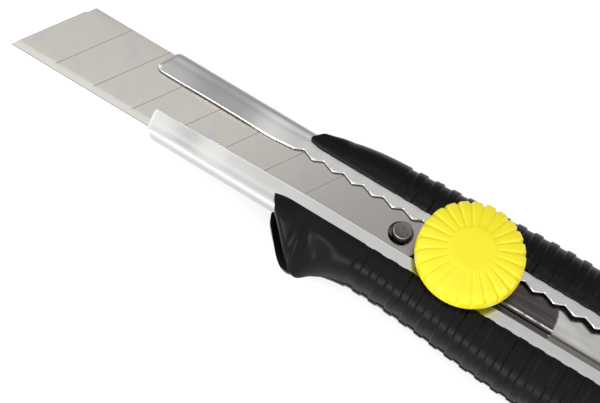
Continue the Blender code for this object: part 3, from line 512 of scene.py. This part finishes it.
# heights from the lips' lower faces, and distances out from the channel's sides
height = place.axis("Z") - (LIP_TOP - SHEET)
beyond_side = place.axis("Y").maths("ABSOLUTE", place.axis("Y")) - CHANNEL_HALF
# painted shade: the inside of the channel below the lips is coloured darker, in noisy patches
inside = height.within(-0.05, -0.45) * beyond_side.within(-0.2, -0.5)
shade_patches = place.stretched(0.1, 0.4, 1.0).noise(1.0, 2.0)
# painted shade: the lips' undersides and the foot of their cut edges are coloured nearly black, a
# dark line under the bright edge
lip_underside_shade = height.within(-0.35, -0.15) * height.within(0.45, 0.2) * beyond_side.within(-1.5, -1.8)
tone = (lip_underside_shade * 0.85).between(tone, (0.12, 0.115, 0.11))
tone = (inside * (0.3 + 0.55 * shade_patches)).between(tone, (0.2, 0.19, 0.18))
# painted shade: the trough along the floor's low side is coloured nearly black
tone = (inside * height.within(-2.25, -2.65) * 0.85).between(tone, (0.10, 0.09, 0.08))
# painted shade: the outside of the edge-side wall is coloured darker below the lip, and nearly
# black towards its foot
edge_wall = (place.axis("Y") + CHANNEL_HALF).within(0.35, 0.1)
tone = (edge_wall * height.within(0.25, -0.75) * 0.5).between(tone, (0.32, 0.32, 0.32))
tone = (edge_wall * height.within(-2.15, -3.15) * 0.8).between(tone, (0.1, 0.1, 0.1))
# painted highlight: the lips' cut edges and the front of the mouth are coloured near white
rim_highlight = place.node("Attribute", {"attribute_name": "rim"}, {}, 2)
stainless.feed("Base Color", (rim_highlight * 0.7).between(tone, (0.95, 0.95, 0.94)))
stainless.feed("Roughness", 0.15 + 0.06 * streaks + 0.05 * clouds)
stainless.bump(streaks, 0.0015)
stainless.put_on(channel)
place_piece(channel, "handle", "stainless_sheet", "channel")

# ------------------------------------------------------------------ grips
# Two soft black rubber grips moulded on the shell's rim. Each hugs the channel's side,
# laps over its lip, and is ringed by shallow grooves; the edge-side one swells into a
# finger guard near the front.

FLANGE_Z = LIP_TOP + GAP
FLANGE_Y = CHANNEL_HALF - 3.25
SPINE_LAND, EDGE_LAND = 2.9, 0.4
GRIP_SQUARENESS, FRONT_SQUARER, GUARD_ROUNDER = 2.6, 2.4, 1.3
GRIP_INSET = 0.15
BEVEL_RUN, LAND_STEP = 0.32, 0.14
GRIP_LEAN = 0.3


# the finger guard's crest and the hollows before and behind it: height, place, half width
GUARD_SWELLS = [(1.1, 9.4, 1.1), (-0.7, 5.2, 2.4), (-1.9, 14.2, 3.2)]


def guard_relief(along, y):
    """The finger guard's relief: a bell curve along the handle for each swell, faded in
    beyond the land and out before the rim.
    """
    bells = [tall * np.exp(-(((along - at) / spread) ** 2)) for tall, at, spread in GUARD_SWELLS]
    window = np.clip((y - 10.4) / 3.4, 0, 1) * np.clip((20.0 - y) / 1.4, 0, 1)
    return sum(bells) * window * window * (3 - 2 * window)


def grip_points(side):
    """The grip's section carried along the handle: a bevelled flange edge, a flat land, a
    superellipse from the land to the parting, and the wall round the channel's bend.
    """
    front = HANDLE_FRONT + (0.0 if side > 0 else 0.3)
    x, depth = (values[:, None] for values in rib_stations(side, front))
    along = x - HANDLE_FRONT
    land = np.minimum(SPINE_LAND, EDGE_LAND + 0.15 * along) if side > 0 else EDGE_LAND
    squareness = GRIP_SQUARENESS + FRONT_SQUARER * np.clip(1 - along / 7, 0, 1)
    if side < 0:
        squareness = squareness - GUARD_ROUNDER * np.exp(-(((along - 10.2) / 4.5) ** 2))
    low, top = parting(x) + 0.03, HANDLE_TOP - depth
    inner = FLANGE_Y + 0.7 * np.clip(1 - (x - front) / 4, 0, 1) ** 2
    start = np.maximum(FLANGE_Y + land, inner + 0.45)
    reach = half_width(side, x) - GRIP_INSET - depth - start
    turn = np.linspace(0, np.pi / 2, 24)
    power = 2 / squareness
    round_y = start + reach * np.sin(turn) ** power
    round_z = low + (top - low) * np.cos(turn) ** power
    if side < 0:
        round_z = round_z + guard_relief(along, round_y)
    ones = np.ones_like(x)
    edge_y = np.hstack([inner, inner, inner + BEVEL_RUN, start - 0.08])
    low_land = top - LAND_STEP
    edge_z = np.hstack([FLANGE_Z * ones, low_land - BEVEL_RUN, low_land, low_land])
    radius = SPINE_BEND if side > 0 else EDGE_BEND
    wall = bend(CHANNEL_HALF - radius, LIP_TOP - radius, radius + GAP, 0, 90)
    wall_y = np.hstack([(CHANNEL_HALF + GAP) * ones, np.tile(wall[:, 0], (len(x), 1))])
    wall_z = np.hstack([low, np.tile(wall[:, 1], (len(x), 1))])
    wall_y[:, -1] = np.maximum(wall_y[:, -1], inner[:, 0] + 0.1)
    y = np.hstack([edge_y, round_y, wall_y])
    z = np.hstack([edge_z, round_z, wall_z])
    fade = np.clip(1 - along / GROOVES_START, 0, 1)
    lean = 0.85 if side > 0 else 0.6
    recede = lean * np.clip(y - FLANGE_Y - 0.65, 0, 3.0) * np.clip(1 - along / 14, 0, 1)
    placed = x + GRIP_LEAN * fade * (HANDLE_TOP - z) + recede
    lowest, highest = extent("grip_edge" if side < 0 else "grip_spine")
    return np.stack([placed, np.clip(side * y, lowest[1], highest[1]), z], -1)


black_rubber = black_moulding("black rubber", (0.004, 0.004, 0.0042), 0.36, 0.015, 0.2)
for name, node, side in (("spine_grip", "grip_spine", 1), ("edge_grip", "grip_edge", -1)):
    grip = skin(name, grip_points(side), "flat", 50.0)
    black_rubber.put_on(grip)
    place_piece(grip, "handle", "black_rubber", node)

# ------------------------------------------------------------------ pad and screws
# The soft pad that the knife rests on, let into the shell's underside, and the plated
# screws under it that hold the channel down.

pad_rows = []
for z, inset in ((0.0, 0.5), (0.08, 0.2), (0.25, 0.03), (0.5, 0.0), (PAD_HIGH[2], 0.0)):
    flat = stadium(PAD_HIGH[0] - inset, PAD_HIGH[1] - inset)
    pad_rows.append(np.column_stack([flat, np.full(len(flat), z)]))
pad = skin("rest_pad", np.array(pad_rows))
pad_rubber = black_moulding("pad rubber", (0.02, 0.02, 0.021), 0.7, 0.05, 0.1)
pad_rubber.put_on(pad)
place_piece(pad, "handle", "black_rubber", "underside_pad")

zinc = Finish("zinc plating", Metallic=1.0)
bloom = zinc.place.noise(0.9, 3.0, 0.6)
zinc.feed("Base Color", bloom.between((0.46, 0.46, 0.45), (0.66, 0.66, 0.66)))
zinc.feed("Roughness", 0.28 + 0.2 * bloom)
zinc.bump(bloom, 0.003)
for number in range(1, 5):
    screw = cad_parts[f"channel_screw_{number}"]
    zinc.put_on(screw)

# ------------------------------------------------------------------ carrier
# The carrier is a stamping of blackened steel that slides on the channel's floor, with a
# foot in the trough and a round tail. The stud riveted in its nose holds the blade.


def eased(node, name, width, segments=2, angle=30.0, edge=None):
    """A copy of a part with its flat faces made whole and its edges rounded. The rounded
    edges take a finish of their own when one is given.
    """
    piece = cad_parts[node].copy()
    for key in list(piece.keys()):
        del piece[key]
    piece.data = piece.data.copy()
    piece.name, piece.parent = name, None
    piece.data.materials.clear()
    bpy.context.scene.collection.objects.link(piece)
    work = bmesh.new()
    work.from_mesh(piece.data)
    bmesh.ops.remove_doubles(work, verts=work.verts, dist=1e-6)
    bmesh.ops.dissolve_limit(work, angle_limit=math.radians(1), verts=work.verts, edges=work.edges)
    bmesh.ops.recalc_face_normals(work, faces=work.faces)
    work.to_mesh(piece.data)
    work.free()
    piece.data.shade_smooth()
    piece.data.set_sharp_from_angle(angle=math.radians(angle))
    step = piece.modifiers.new("rounded edges", "BEVEL")
    step.width, step.segments = width * MM, segments
    step.limit_method, step.angle_limit = "ANGLE", math.radians(angle)
    step.harden_normals = True
    step.use_clamp_overlap = False
    if edge:
        piece.data.materials.append(None)
        piece.data.materials.append(edge.material)
        step.material = 1
    return piece


gunmetal = Finish("blackened steel", Metallic=1.0)
grain = gunmetal.place.noise(3.5, 4.0, 0.7)
rubbed = gunmetal.place.stretched(0.06, 1.2, 1.2).noise(1.0, 3.0)
dark = rubbed.within(0.35, 0.75).between((0.085, 0.072, 0.073), (0.16, 0.14, 0.14))
gunmetal.feed("Base Color", (grain.within(0.55, 0.8) * 0.4).between(dark, (0.24, 0.22, 0.21)))
gunmetal.feed("Roughness", 0.24 + 0.16 * grain)
gunmetal.bump(grain, 0.006)

# painted highlight: the rounded upper edges along the carrier's tail, and right round its end, are
# coloured bright, broken up by noise
edge_highlight_steel = Finish("edge highlight steel", Metallic=1.0)
highlight_breakup = edge_highlight_steel.place.noise(1.1, 3.0)
CARRIER_HIGH = extent("carrier_plate")[1]
to_end = edge_highlight_steel.place.axis("X") - CARRIER_HIGH[0]
upper = (edge_highlight_steel.place.axis("Z") - CARRIER_HIGH[2]).within(-0.35, -0.2)
tail = to_end.within(-12.0, -9.0) * upper
bright = highlight_breakup.within(0.3, 0.6).between((0.22, 0.21, 0.20), (0.75, 0.73, 0.71))
shown = tail.maths("MAXIMUM", tail, to_end.within(-0.6, -0.4))
edge_highlight_steel.feed("Base Color", shown.between((0.08, 0.075, 0.072), bright))
edge_highlight_steel.feed("Roughness", 0.2 + 0.1 * highlight_breakup)
carrier = eased("carrier_plate", "carrier", 0.2, edge=edge_highlight_steel)
gunmetal.put_on(carrier)
place_piece(carrier, "carriage", "dark_steel", "carrier_plate")

STUD_LOW, STUD_HIGH = extent("blade_stud")
STUD_X = (STUD_LOW[0] + STUD_HIGH[0]) / 2
STUD_RADIUS = (STUD_HIGH[0] - STUD_LOW[0]) / 2
SPIGOT_RADIUS, SPIGOT_HEIGHT = 1.3, 0.95


def lathe(name, x, y, profile, count=64, sharp=40.0):
    """A turned piece on an upright axis: the profile's (radius, height) pairs swept
    round, with a fan over each end.
    """
    shape = np.array(profile, float)
    turn = np.linspace(0, 2 * np.pi, count, endpoint=False)
    across = shape[:, 0, None]
    rows = [x + across * np.cos(turn), y + across * np.sin(turn)]
    rows.append(np.broadcast_to(shape[:, 1, None], rows[0].shape))
    return skin(name, np.stack(rows, -1), "fan", sharp)


base, top, brim = STUD_LOW[2], STUD_HIGH[2], STUD_RADIUS
stud = lathe("stud", STUD_X, 0.0, [
    (SPIGOT_RADIUS, base), (SPIGOT_RADIUS, base + SPIGOT_HEIGHT - 0.01),
    (brim, base + SPIGOT_HEIGHT), (brim, top - 0.25), (brim - 0.04, top - 0.1),
    (brim - 0.14, top - 0.01), (brim - 0.26, top), (brim - 0.4, top - 0.05),
    (0.8, top - 0.05), (0.2, top - 0.05),
])
stud_steel = Finish("turned steel", Metallic=1.0)
place = stud_steel.place
speck = place.noise(6.0, 3.0, 0.7)
aside = place.axis("X") - STUD_X
squared_radius = aside * aside + place.axis("Y") * place.axis("Y")
tone = speck.within(0.35, 0.65).between((0.10, 0.095, 0.09), (0.26, 0.25, 0.24))
tone = squared_radius.within(3.75, 4.1).between(tone, (0.55, 0.54, 0.53))
below_head = (place.axis("Z") - STUD_HIGH[2]).within(-0.1, -0.4)
stud_steel.feed("Base Color", below_head.between(tone, (0.12, 0.115, 0.11)))
stud_steel.feed("Roughness", 0.26 + 0.2 * speck)
stud_steel.bump(speck, 0.012)
stud_steel.put_on(stud)
place_piece(stud, "carriage", "dark_steel", "blade_stud")

# ------------------------------------------------------------------ blade
# A strip of hardened steel, 18 mm wide, with a ground edge and score lines every 10 mm
# on a 60-degree slant. The hole in its tail drops over the stud.

BLADE_LOW, BLADE_HIGH = extent("blade")
BLADE_WIDTH = BLADE_HIGH[1] - BLADE_LOW[1]
SLANT = 1 / math.tan(math.radians(60))
BEVEL = 1.4
SCORE_PITCH, SCORES, SCORE_DEPTH = 10.0, 7, 0.05
SNAP_FROM, SNAP_STEP = 15.7, 0.32
HOLE_RADIUS, HOLE_AHEAD = 2.85, 0.25

# stations along the blade: its ends, and four across each score line
along = [0.0, 0.05]
for number in range(1, SCORES + 1):
    along += [number * SCORE_PITCH + shift for shift in (-0.13, -0.05, 0.05, 0.13)]
tail = BLADE_HIGH[0] - BLADE_LOW[0] - BLADE_WIDTH * SLANT
along = np.array(along + [tail - 0.05, tail])
# distances from the cutting edge to the spine, and the half thickness at each
across = np.array([0.0, 0.1, BEVEL - 0.1, BEVEL + 0.05, 2.0, 15.7, 16.1, 17.6, 17.93, 18.0])
rise = np.array([0.0, 0.04, 0.232, 0.25, 0.25, 0.25, 0.25, 0.25, 0.24, 0.17])
ring_y = np.concatenate([across, across[:0:-1]])
ring_z = np.concatenate([rise, -rise[:0:-1]])
scored = np.zeros(len(ring_y))
scored[3:9] = [0.3, 1, 1, 1, 1, 1]
phase = np.abs((along + SCORE_PITCH / 2) % SCORE_PITCH - SCORE_PITCH / 2)
inside = (along > SCORE_PITCH / 2) & (along < SCORES * SCORE_PITCH + 1)
depth = SCORE_DEPTH * (phase < 0.1) * inside
# the corner where the last segment snapped off is set back a little by the spine
snapped = SNAP_STEP * np.clip((ring_y - SNAP_FROM) / 0.4, 0, 1)
x = BLADE_LOW[0] + ring_y * SLANT + along[:, None] + snapped * (along[:, None] < 1)
y = np.broadcast_to(BLADE_LOW[1] + ring_y, x.shape)
z = (BLADE_LOW[2] + BLADE_HIGH[2]) / 2 + ring_z - depth[:, None] * scored
blade = skin("snap_blade", np.stack([x, y, z], -1), "flat", 20.0)


def disc(x, y, radius, count):
    """Points round a circle."""
    turn = np.linspace(0, 2 * np.pi, count, endpoint=False)
    return np.column_stack([x + radius * np.cos(turn), y + radius * np.sin(turn)])


round_hole = disc(STUD_X - HOLE_AHEAD, 0.0, HOLE_RADIUS, 64)
carve(blade, prism("blade hole", round_hole, BLADE_LOW[2] - 1, BLADE_HIGH[2] + 1), sharp=20.0)

blade_steel = Finish("blade steel", Metallic=1.0)
place = blade_steel.place
from_edge = place.axis("Y") - BLADE_LOW[1]
sheared = place.axis("X") - BLADE_LOW[0] - SLANT * from_edge
from_score = (sheared + SCORE_PITCH / 2) % SCORE_PITCH - SCORE_PITCH / 2
off_score = from_score.maths("ABSOLUTE", from_score)
last_score = SCORE_PITCH * (SCORES + 0.5)
# the score lines are coloured dark: partly the oxide of their grinding, partly painted shade in
# the grooves
line_mask = off_score.within(0.2, 0.04) * sheared.within(last_score + 0.1, last_score)
line_mask = line_mask * from_edge.within(BEVEL - 0.1, BEVEL + 0.3)
tints = place.noise(0.16, 3.0, 0.55)
stain = place.noise(0.3, 2.0)
tint_and_shade = tints.node("ValToRGB", {"stops": [
    (0.33, (0.70, 0.70, 0.71)), (0.45, (0.76, 0.73, 0.67)), (0.56, (0.77, 0.725, 0.675)),
    (0.64, (0.74, 0.715, 0.65)), (0.74, (0.72, 0.71, 0.75)),
]}, {0: tints})
tint_and_shade = (stain.within(0.5, 0.75) * 0.5).between(tint_and_shade, (0.80, 0.76, 0.64))
# painted shade: the blade is coloured darker from 38 mm along towards its tail, where the handle
# shades it
tint_and_shade = sheared.within(38.0, 92.0).between(tint_and_shade, (0.47, 0.445, 0.43))
ground = place.stretched(3.2, 0.5, 1.0).noise(1.0, 2.0)
bevel_tone = ground.between((0.62, 0.61, 0.58), (0.72, 0.71, 0.68))
bevel_tone = from_edge.within(0.3, 0.05).between(bevel_tone, (0.34, 0.34, 0.33))
tone = from_edge.within(BEVEL + 0.05, BEVEL - 0.1).between(tint_and_shade, bevel_tone)
blade_steel.feed("Base Color", (line_mask * 0.8).between(tone, (0.30, 0.29, 0.28)))
brushed = place.stretched(0.05, 2.2, 1.0).noise(1.0, 3.0)
blade_steel.feed("Roughness", 0.27 + 0.1 * tints + 0.05 * brushed)
blade_steel.bump(brushed * 0.6 + ground * from_edge.within(BEVEL, BEVEL - 0.2), 0.004)
blade_steel.put_on(blade)
place_piece(blade, "carriage", "blade_steel", "blade")

# ------------------------------------------------------------------ lock
# A zinc-plated bolt and a toothed plate of blackened steel, which rise together when the
# wheel is turned: the bolt's head sits in the carrier and the tooth goes up into the rack.

lock_plate = eased("lock_plate", "lock_tooth_plate", 0.06)
gunmetal.put_on(lock_plate)
place_piece(lock_plate, "lock", "dark_steel", "lock_plate")
bolt = eased("clamp_bolt", "bolt", 0.08)
zinc.put_on(bolt)
place_piece(bolt, "lock", "zinc_steel", "clamp_bolt")

# ------------------------------------------------------------------ pressure plate and washer
# A zinc-plated steel plate that bears on both lips when the wheel is tightened, and the
# spring washer between it and the wheel. Both are stampings, held on by the bolt alone.

plate = eased("pressure_plate", "lip_plate", 0.12)
washer = eased("spring_washer", "wheel_washer", 0.08)
zinc.put_on(plate, washer)
place_piece(plate, "carriage", "zinc_steel", "pressure_plate")
place_piece(washer, "carriage", "zinc_steel", "spring_washer")

# ------------------------------------------------------------------ wheel
# The locking wheel: yellow plastic, with a flat face and two dozen broad ribs that fan
# out to the rim. A threaded brass insert is moulded in its hub.

WHEEL_LOW, WHEEL_HIGH = extent("wheel")
wheel_x, wheel_y = (WHEEL_LOW[:2] + WHEEL_HIGH[:2]) / 2
HUB_STANDOUT = 0.4
RIBS = 24
r_out = (WHEEL_HIGH[0] - WHEEL_LOW[0]) / 2
base, top = WHEEL_LOW[2] + HUB_STANDOUT, WHEEL_HIGH[2]
# radius, height, and how deep the grooves are there
profile = np.array([
    (0.3, top, 0), (2.5, top, 0), (4.7, top, 0), (4.95, top - 0.02, 0), (5.1, top - 0.07, 0),
    (5.35, top - 0.13, 0.12), (5.8, top - 0.17, 0.25), (7.0, top - 0.30, 0.36),
    (8.2, top - 0.46, 0.46), (9.3, top - 0.66, 0.56), (10.2, top - 0.90, 0.66),
    (10.9, top - 1.18, 0.74), (11.4, top - 1.5, 0.80), (11.72, top - 1.88, 0.80),
    (11.88, top - 2.3, 0.72), (11.93, top - 2.9, 0.5), (11.95, top - 3.5, 0.25),
    (11.97, base + 1.1, 0.06), (r_out, base + 0.9, 0), (r_out, base + 0.35, 0),
    (r_out - 0.12, base + 0.1, 0), (r_out - 0.4, base, 0), (8.0, base, 0), (4.9, base, 0),
    (4.75, base - 0.1, 0), (4.75, WHEEL_LOW[2], 0), (3.65, WHEEL_LOW[2], 0),
    (3.65, top - 1.2, 0), (1.0, top - 1.2, 0), (0.3, top - 1.2, 0),
])
turn = np.linspace(0, 2 * np.pi, RIBS * 14, endpoint=False)
radius, height, cut = profile[:, 0, None], profile[:, 1, None], profile[:, 2, None]
from_groove = np.abs((turn * RIBS / (2 * np.pi) + 0.5) % 1 - 0.5)
arc = from_groove * 2 * np.pi * radius / RIBS
half_groove = 0.24 + 0.55 * cut
valley = np.clip(1 - arc / half_groove, 0, 1)
valley = valley * valley * (3 - 2 * valley) * cut
# a groove cuts downwards on the face and inwards on the rim
steep = np.clip((radius - 10.6) / 1.3, 0, 1) * (height > base + 0.5)
r_cut = radius - valley * steep * 0.95
z_cut = height - valley * (1 - steep) * 0.6 - valley * steep * 0.35
points = [wheel_x + r_cut * np.cos(turn), wheel_y + r_cut * np.sin(turn), z_cut]
wheel = skin("lock_wheel", np.stack(points, -1), "fan", 60.0)

yellow = Finish("yellow plastic", IOR=1.5)
mottle = yellow.place.noise(0.5, 2.0)
skin_grain = yellow.place.noise(7.0, 2.0)
yellow.feed("Base Color", mottle.between((0.93, 0.80, 0.012), (0.97, 0.84, 0.02)))
yellow.feed("Roughness", 0.3 + 0.12 * mottle)
yellow.bump(skin_grain, 0.006)
yellow.put_on(wheel)
place_piece(wheel, "wheel", "yellow_plastic", "wheel")

insert = eased("wheel_insert", "threaded_insert", 0.1)
brass = Finish("brass", Metallic=1.0)
tarnish = brass.place.noise(1.2, 2.0)
brass.feed("Base Color", tarnish.between((0.56, 0.38, 0.15), (0.74, 0.55, 0.26)))
brass.feed("Roughness", 0.25 + 0.2 * tarnish)
brass.put_on(insert)
place_piece(insert, "wheel", "brass", "wheel_insert")

# ------------------------------------------------------------------ end cap
# The cap closes the handle's rear: black nylon with a tongue in the channel, held by a
# leaf spring. The slot across its end takes a blade tip to snap it off.

CAP_START = SHELL_HIGH[0] + GAP
CAP_ROUND, CAP_ROUND_RUN, CAP_EASE = 2.5, 3.7, 0.15
turn = np.linspace(0, np.pi / 2, 16)
rounded_x = HANDLE_END - CAP_ROUND_RUN * (1 - np.sin(turn))
x = np.concatenate([[CAP_START, CAP_START + CAP_EASE], rounded_x])
tuck = np.concatenate([[CAP_EASE, 0.0], CAP_ROUND * (1 - np.cos(turn))])[:, None]


def cap_half(side):
    """Half of the cap's section from its underside up to its top: a quarter ellipse to
    the parting, then a superellipse like the grips' up to a flat top.
    """
    width = half_width(side, x)[:, None] - GRIP_INSET - tuck
    flat = FLANGE_Y + (SPINE_LAND if side > 0 else EDGE_LAND)
    power = 2 / GRIP_SQUARENESS
    lower = np.linspace(0, np.pi / 2, 14)
    upper = np.linspace(0, np.pi / 2, 22)[1:]
    y = [UNDERSIDE_HALF + (width - UNDERSIDE_HALF) * np.sin(lower)]
    y.append(flat + (width - flat) * np.cos(upper) ** power)
    z = [PARTING - (PARTING - SHELL_LOW[2] - tuck) * np.cos(lower)]
    z.append(PARTING + (HANDLE_TOP - PARTING - tuck) * np.sin(upper) ** power)
    return side * np.hstack(y), np.hstack(z)


spine_y, spine_z = cap_half(1)
edge_y, edge_z = cap_half(-1)
ring_y, ring_z = np.hstack([spine_y, edge_y[:, ::-1]]), np.hstack([spine_z, edge_z[:, ::-1]])
ring_x = np.broadcast_to(x[:, None], ring_y.shape)
cap = skin("snap_cap", np.stack([ring_x, ring_y, ring_z], -1), "flat", 40.0)

TONGUE_HALF, TONGUE_LOW, TONGUE_HIGH = 8.5, 10.55, LIP_TOP - SHEET - GAP
tongue = np.array([
    (-TONGUE_HALF, TONGUE_LOW), (TONGUE_HALF, TONGUE_LOW),
    (TONGUE_HALF, TONGUE_HIGH), (-TONGUE_HALF, TONGUE_HIGH),
])
ends = (extent("end_cap")[0][0], SHELL_HIGH[0] + 1.0)
rows = [np.column_stack([np.full(4, x), tongue]) for x in ends]
carve(cap, skin("tongue", np.array(rows)), "UNION")

SLOT_DEPTH, SLOT_HALF, SLOT_HEIGHT = 5.5, BLADE_WIDTH / 2 + 1.0, 1.2
slot_base = (TONGUE_LOW + LIP_TOP - SHEET - SLOT_HEIGHT) / 2
corners = [
    (HANDLE_END - SLOT_DEPTH, -SLOT_HALF), (HANDLE_END + 1, -SLOT_HALF),
    (HANDLE_END + 1, SLOT_HALF), (HANDLE_END - SLOT_DEPTH, SLOT_HALF),
]
carve(cap, prism("snap slot", corners, slot_base, slot_base + SLOT_HEIGHT))
black_nylon.put_on(cap)
place_piece(cap, "cap", "black_nylon", "end_cap")
spring = eased("cap_spring", "cap_leaf_spring", 0.1)
zinc.put_on(spring)
place_piece(spring, "cap", "zinc_steel", "cap_spring")

# ------------------------------------------------------------------ studio
# A plain pale floor, a broad soft light on the cutting edge's side, a faint strip behind
# the end cap, and a world that goes from pale on the edge's side to grey on the spine's,
# which turns flat steel mid grey. The camera looks down along the knife.

FLOOR_HALF = 3.0
corners = FLOOR_HALF * np.array([(-1, -1, 0), (1, -1, 0), (1, 1, 0), (-1, 1, 0)])
floor_mesh = bpy.data.meshes.new("floor")
floor_mesh.from_pydata(corners.tolist(), [], [(0, 1, 2, 3)])
floor = bpy.data.objects.new("floor", floor_mesh)
bpy.context.scene.collection.objects.link(floor)
paper = Finish("paper", Roughness=0.9, Specular_IOR_Level=0.1, Emission_Strength=0.62)
paper.shader.inputs["Emission Color"].default_value = (1.0, 1.0, 1.0, 1.0)
paper.feed("Base Color", paper.place.noise(0.01).between((0.6, 0.6, 0.6), (0.62, 0.62, 0.62)))
paper.put_on(floor)

world = bpy.data.worlds.new("studio")
bpy.context.scene.world = world
world.use_nodes = True
sky = Shade(world.node_tree).node("TexCoord", {}, {}, "Generated")
across = sky.axis("Y") * 0.5 + 0.5
glow = across.node("ValToRGB", {"stops": [
    (0.30, (0.80, 0.80, 0.80)), (0.60, (1.0, 0.995, 0.985)), (0.635, (0.86, 0.86, 0.85)),
    (0.685, (0.50, 0.50, 0.505)), (0.76, (0.28, 0.28, 0.29)), (1.0, (0.42, 0.42, 0.43)),
]}, {0: across})
background = world.node_tree.nodes["Background"]
background.inputs["Strength"].default_value = 1.2
world.node_tree.links.new(glow.socket, background.inputs["Color"])


def soft_light(name, place, aim, size, power, colour):
    """A rectangular light at a place, facing a point; lengths in metres, power in watts."""
    light = bpy.data.lights.new(name, "AREA")
    light.shape = "RECTANGLE"
    light.size, light.size_y = size
    light.energy = power
    light.color = colour
    lamp = bpy.data.objects.new(name, light)
    bpy.context.scene.collection.objects.link(lamp)
    lamp.location = place
    direction = Vector(aim) - Vector(place)
    lamp.rotation_euler = direction.to_track_quat("-Z", "Y").to_euler()


soft_light("key", (-0.2, -0.95, 0.62), (-0.03, 0, 0), (0.5, 0.22), 3.6, (1.0, 0.99, 0.97))
soft_light("rear strip", (0.75, 0.1, 0.45), (0.0, 0, 0), (0.15, 0.6), 0.8, (1.0, 1.0, 1.0))

FOCAL_LENGTH, DISTANCE = 124.16, 0.44973
TARGET = Vector((-0.0582, -0.00577, 0.012))
AZIMUTH, ELEVATION, ROLL = (math.radians(a) for a in (19.487, 66.894, 12.995))
back = Vector((
    math.sin(AZIMUTH) * math.cos(ELEVATION), -math.cos(AZIMUTH) * math.cos(ELEVATION),
    math.sin(ELEVATION),
))
level = Vector((math.cos(AZIMUTH), math.sin(AZIMUTH), 0.0))
rise = back.cross(level)
right = level * math.cos(ROLL) + rise * math.sin(ROLL)
up = rise * math.cos(ROLL) - level * math.sin(ROLL)
lens = bpy.data.cameras.new("camera")
lens.lens, lens.sensor_width, lens.clip_start = FOCAL_LENGTH, 36.0, 0.01
camera = bpy.data.objects.new("camera", lens)
bpy.context.scene.collection.objects.link(camera)
turned = Matrix((right, up, back)).transposed().to_4x4()
camera.matrix_world = Matrix.Translation(TARGET + back * DISTANCE) @ turned
bpy.context.scene.camera = camera
bpy.context.scene.view_settings.view_transform = "Standard"
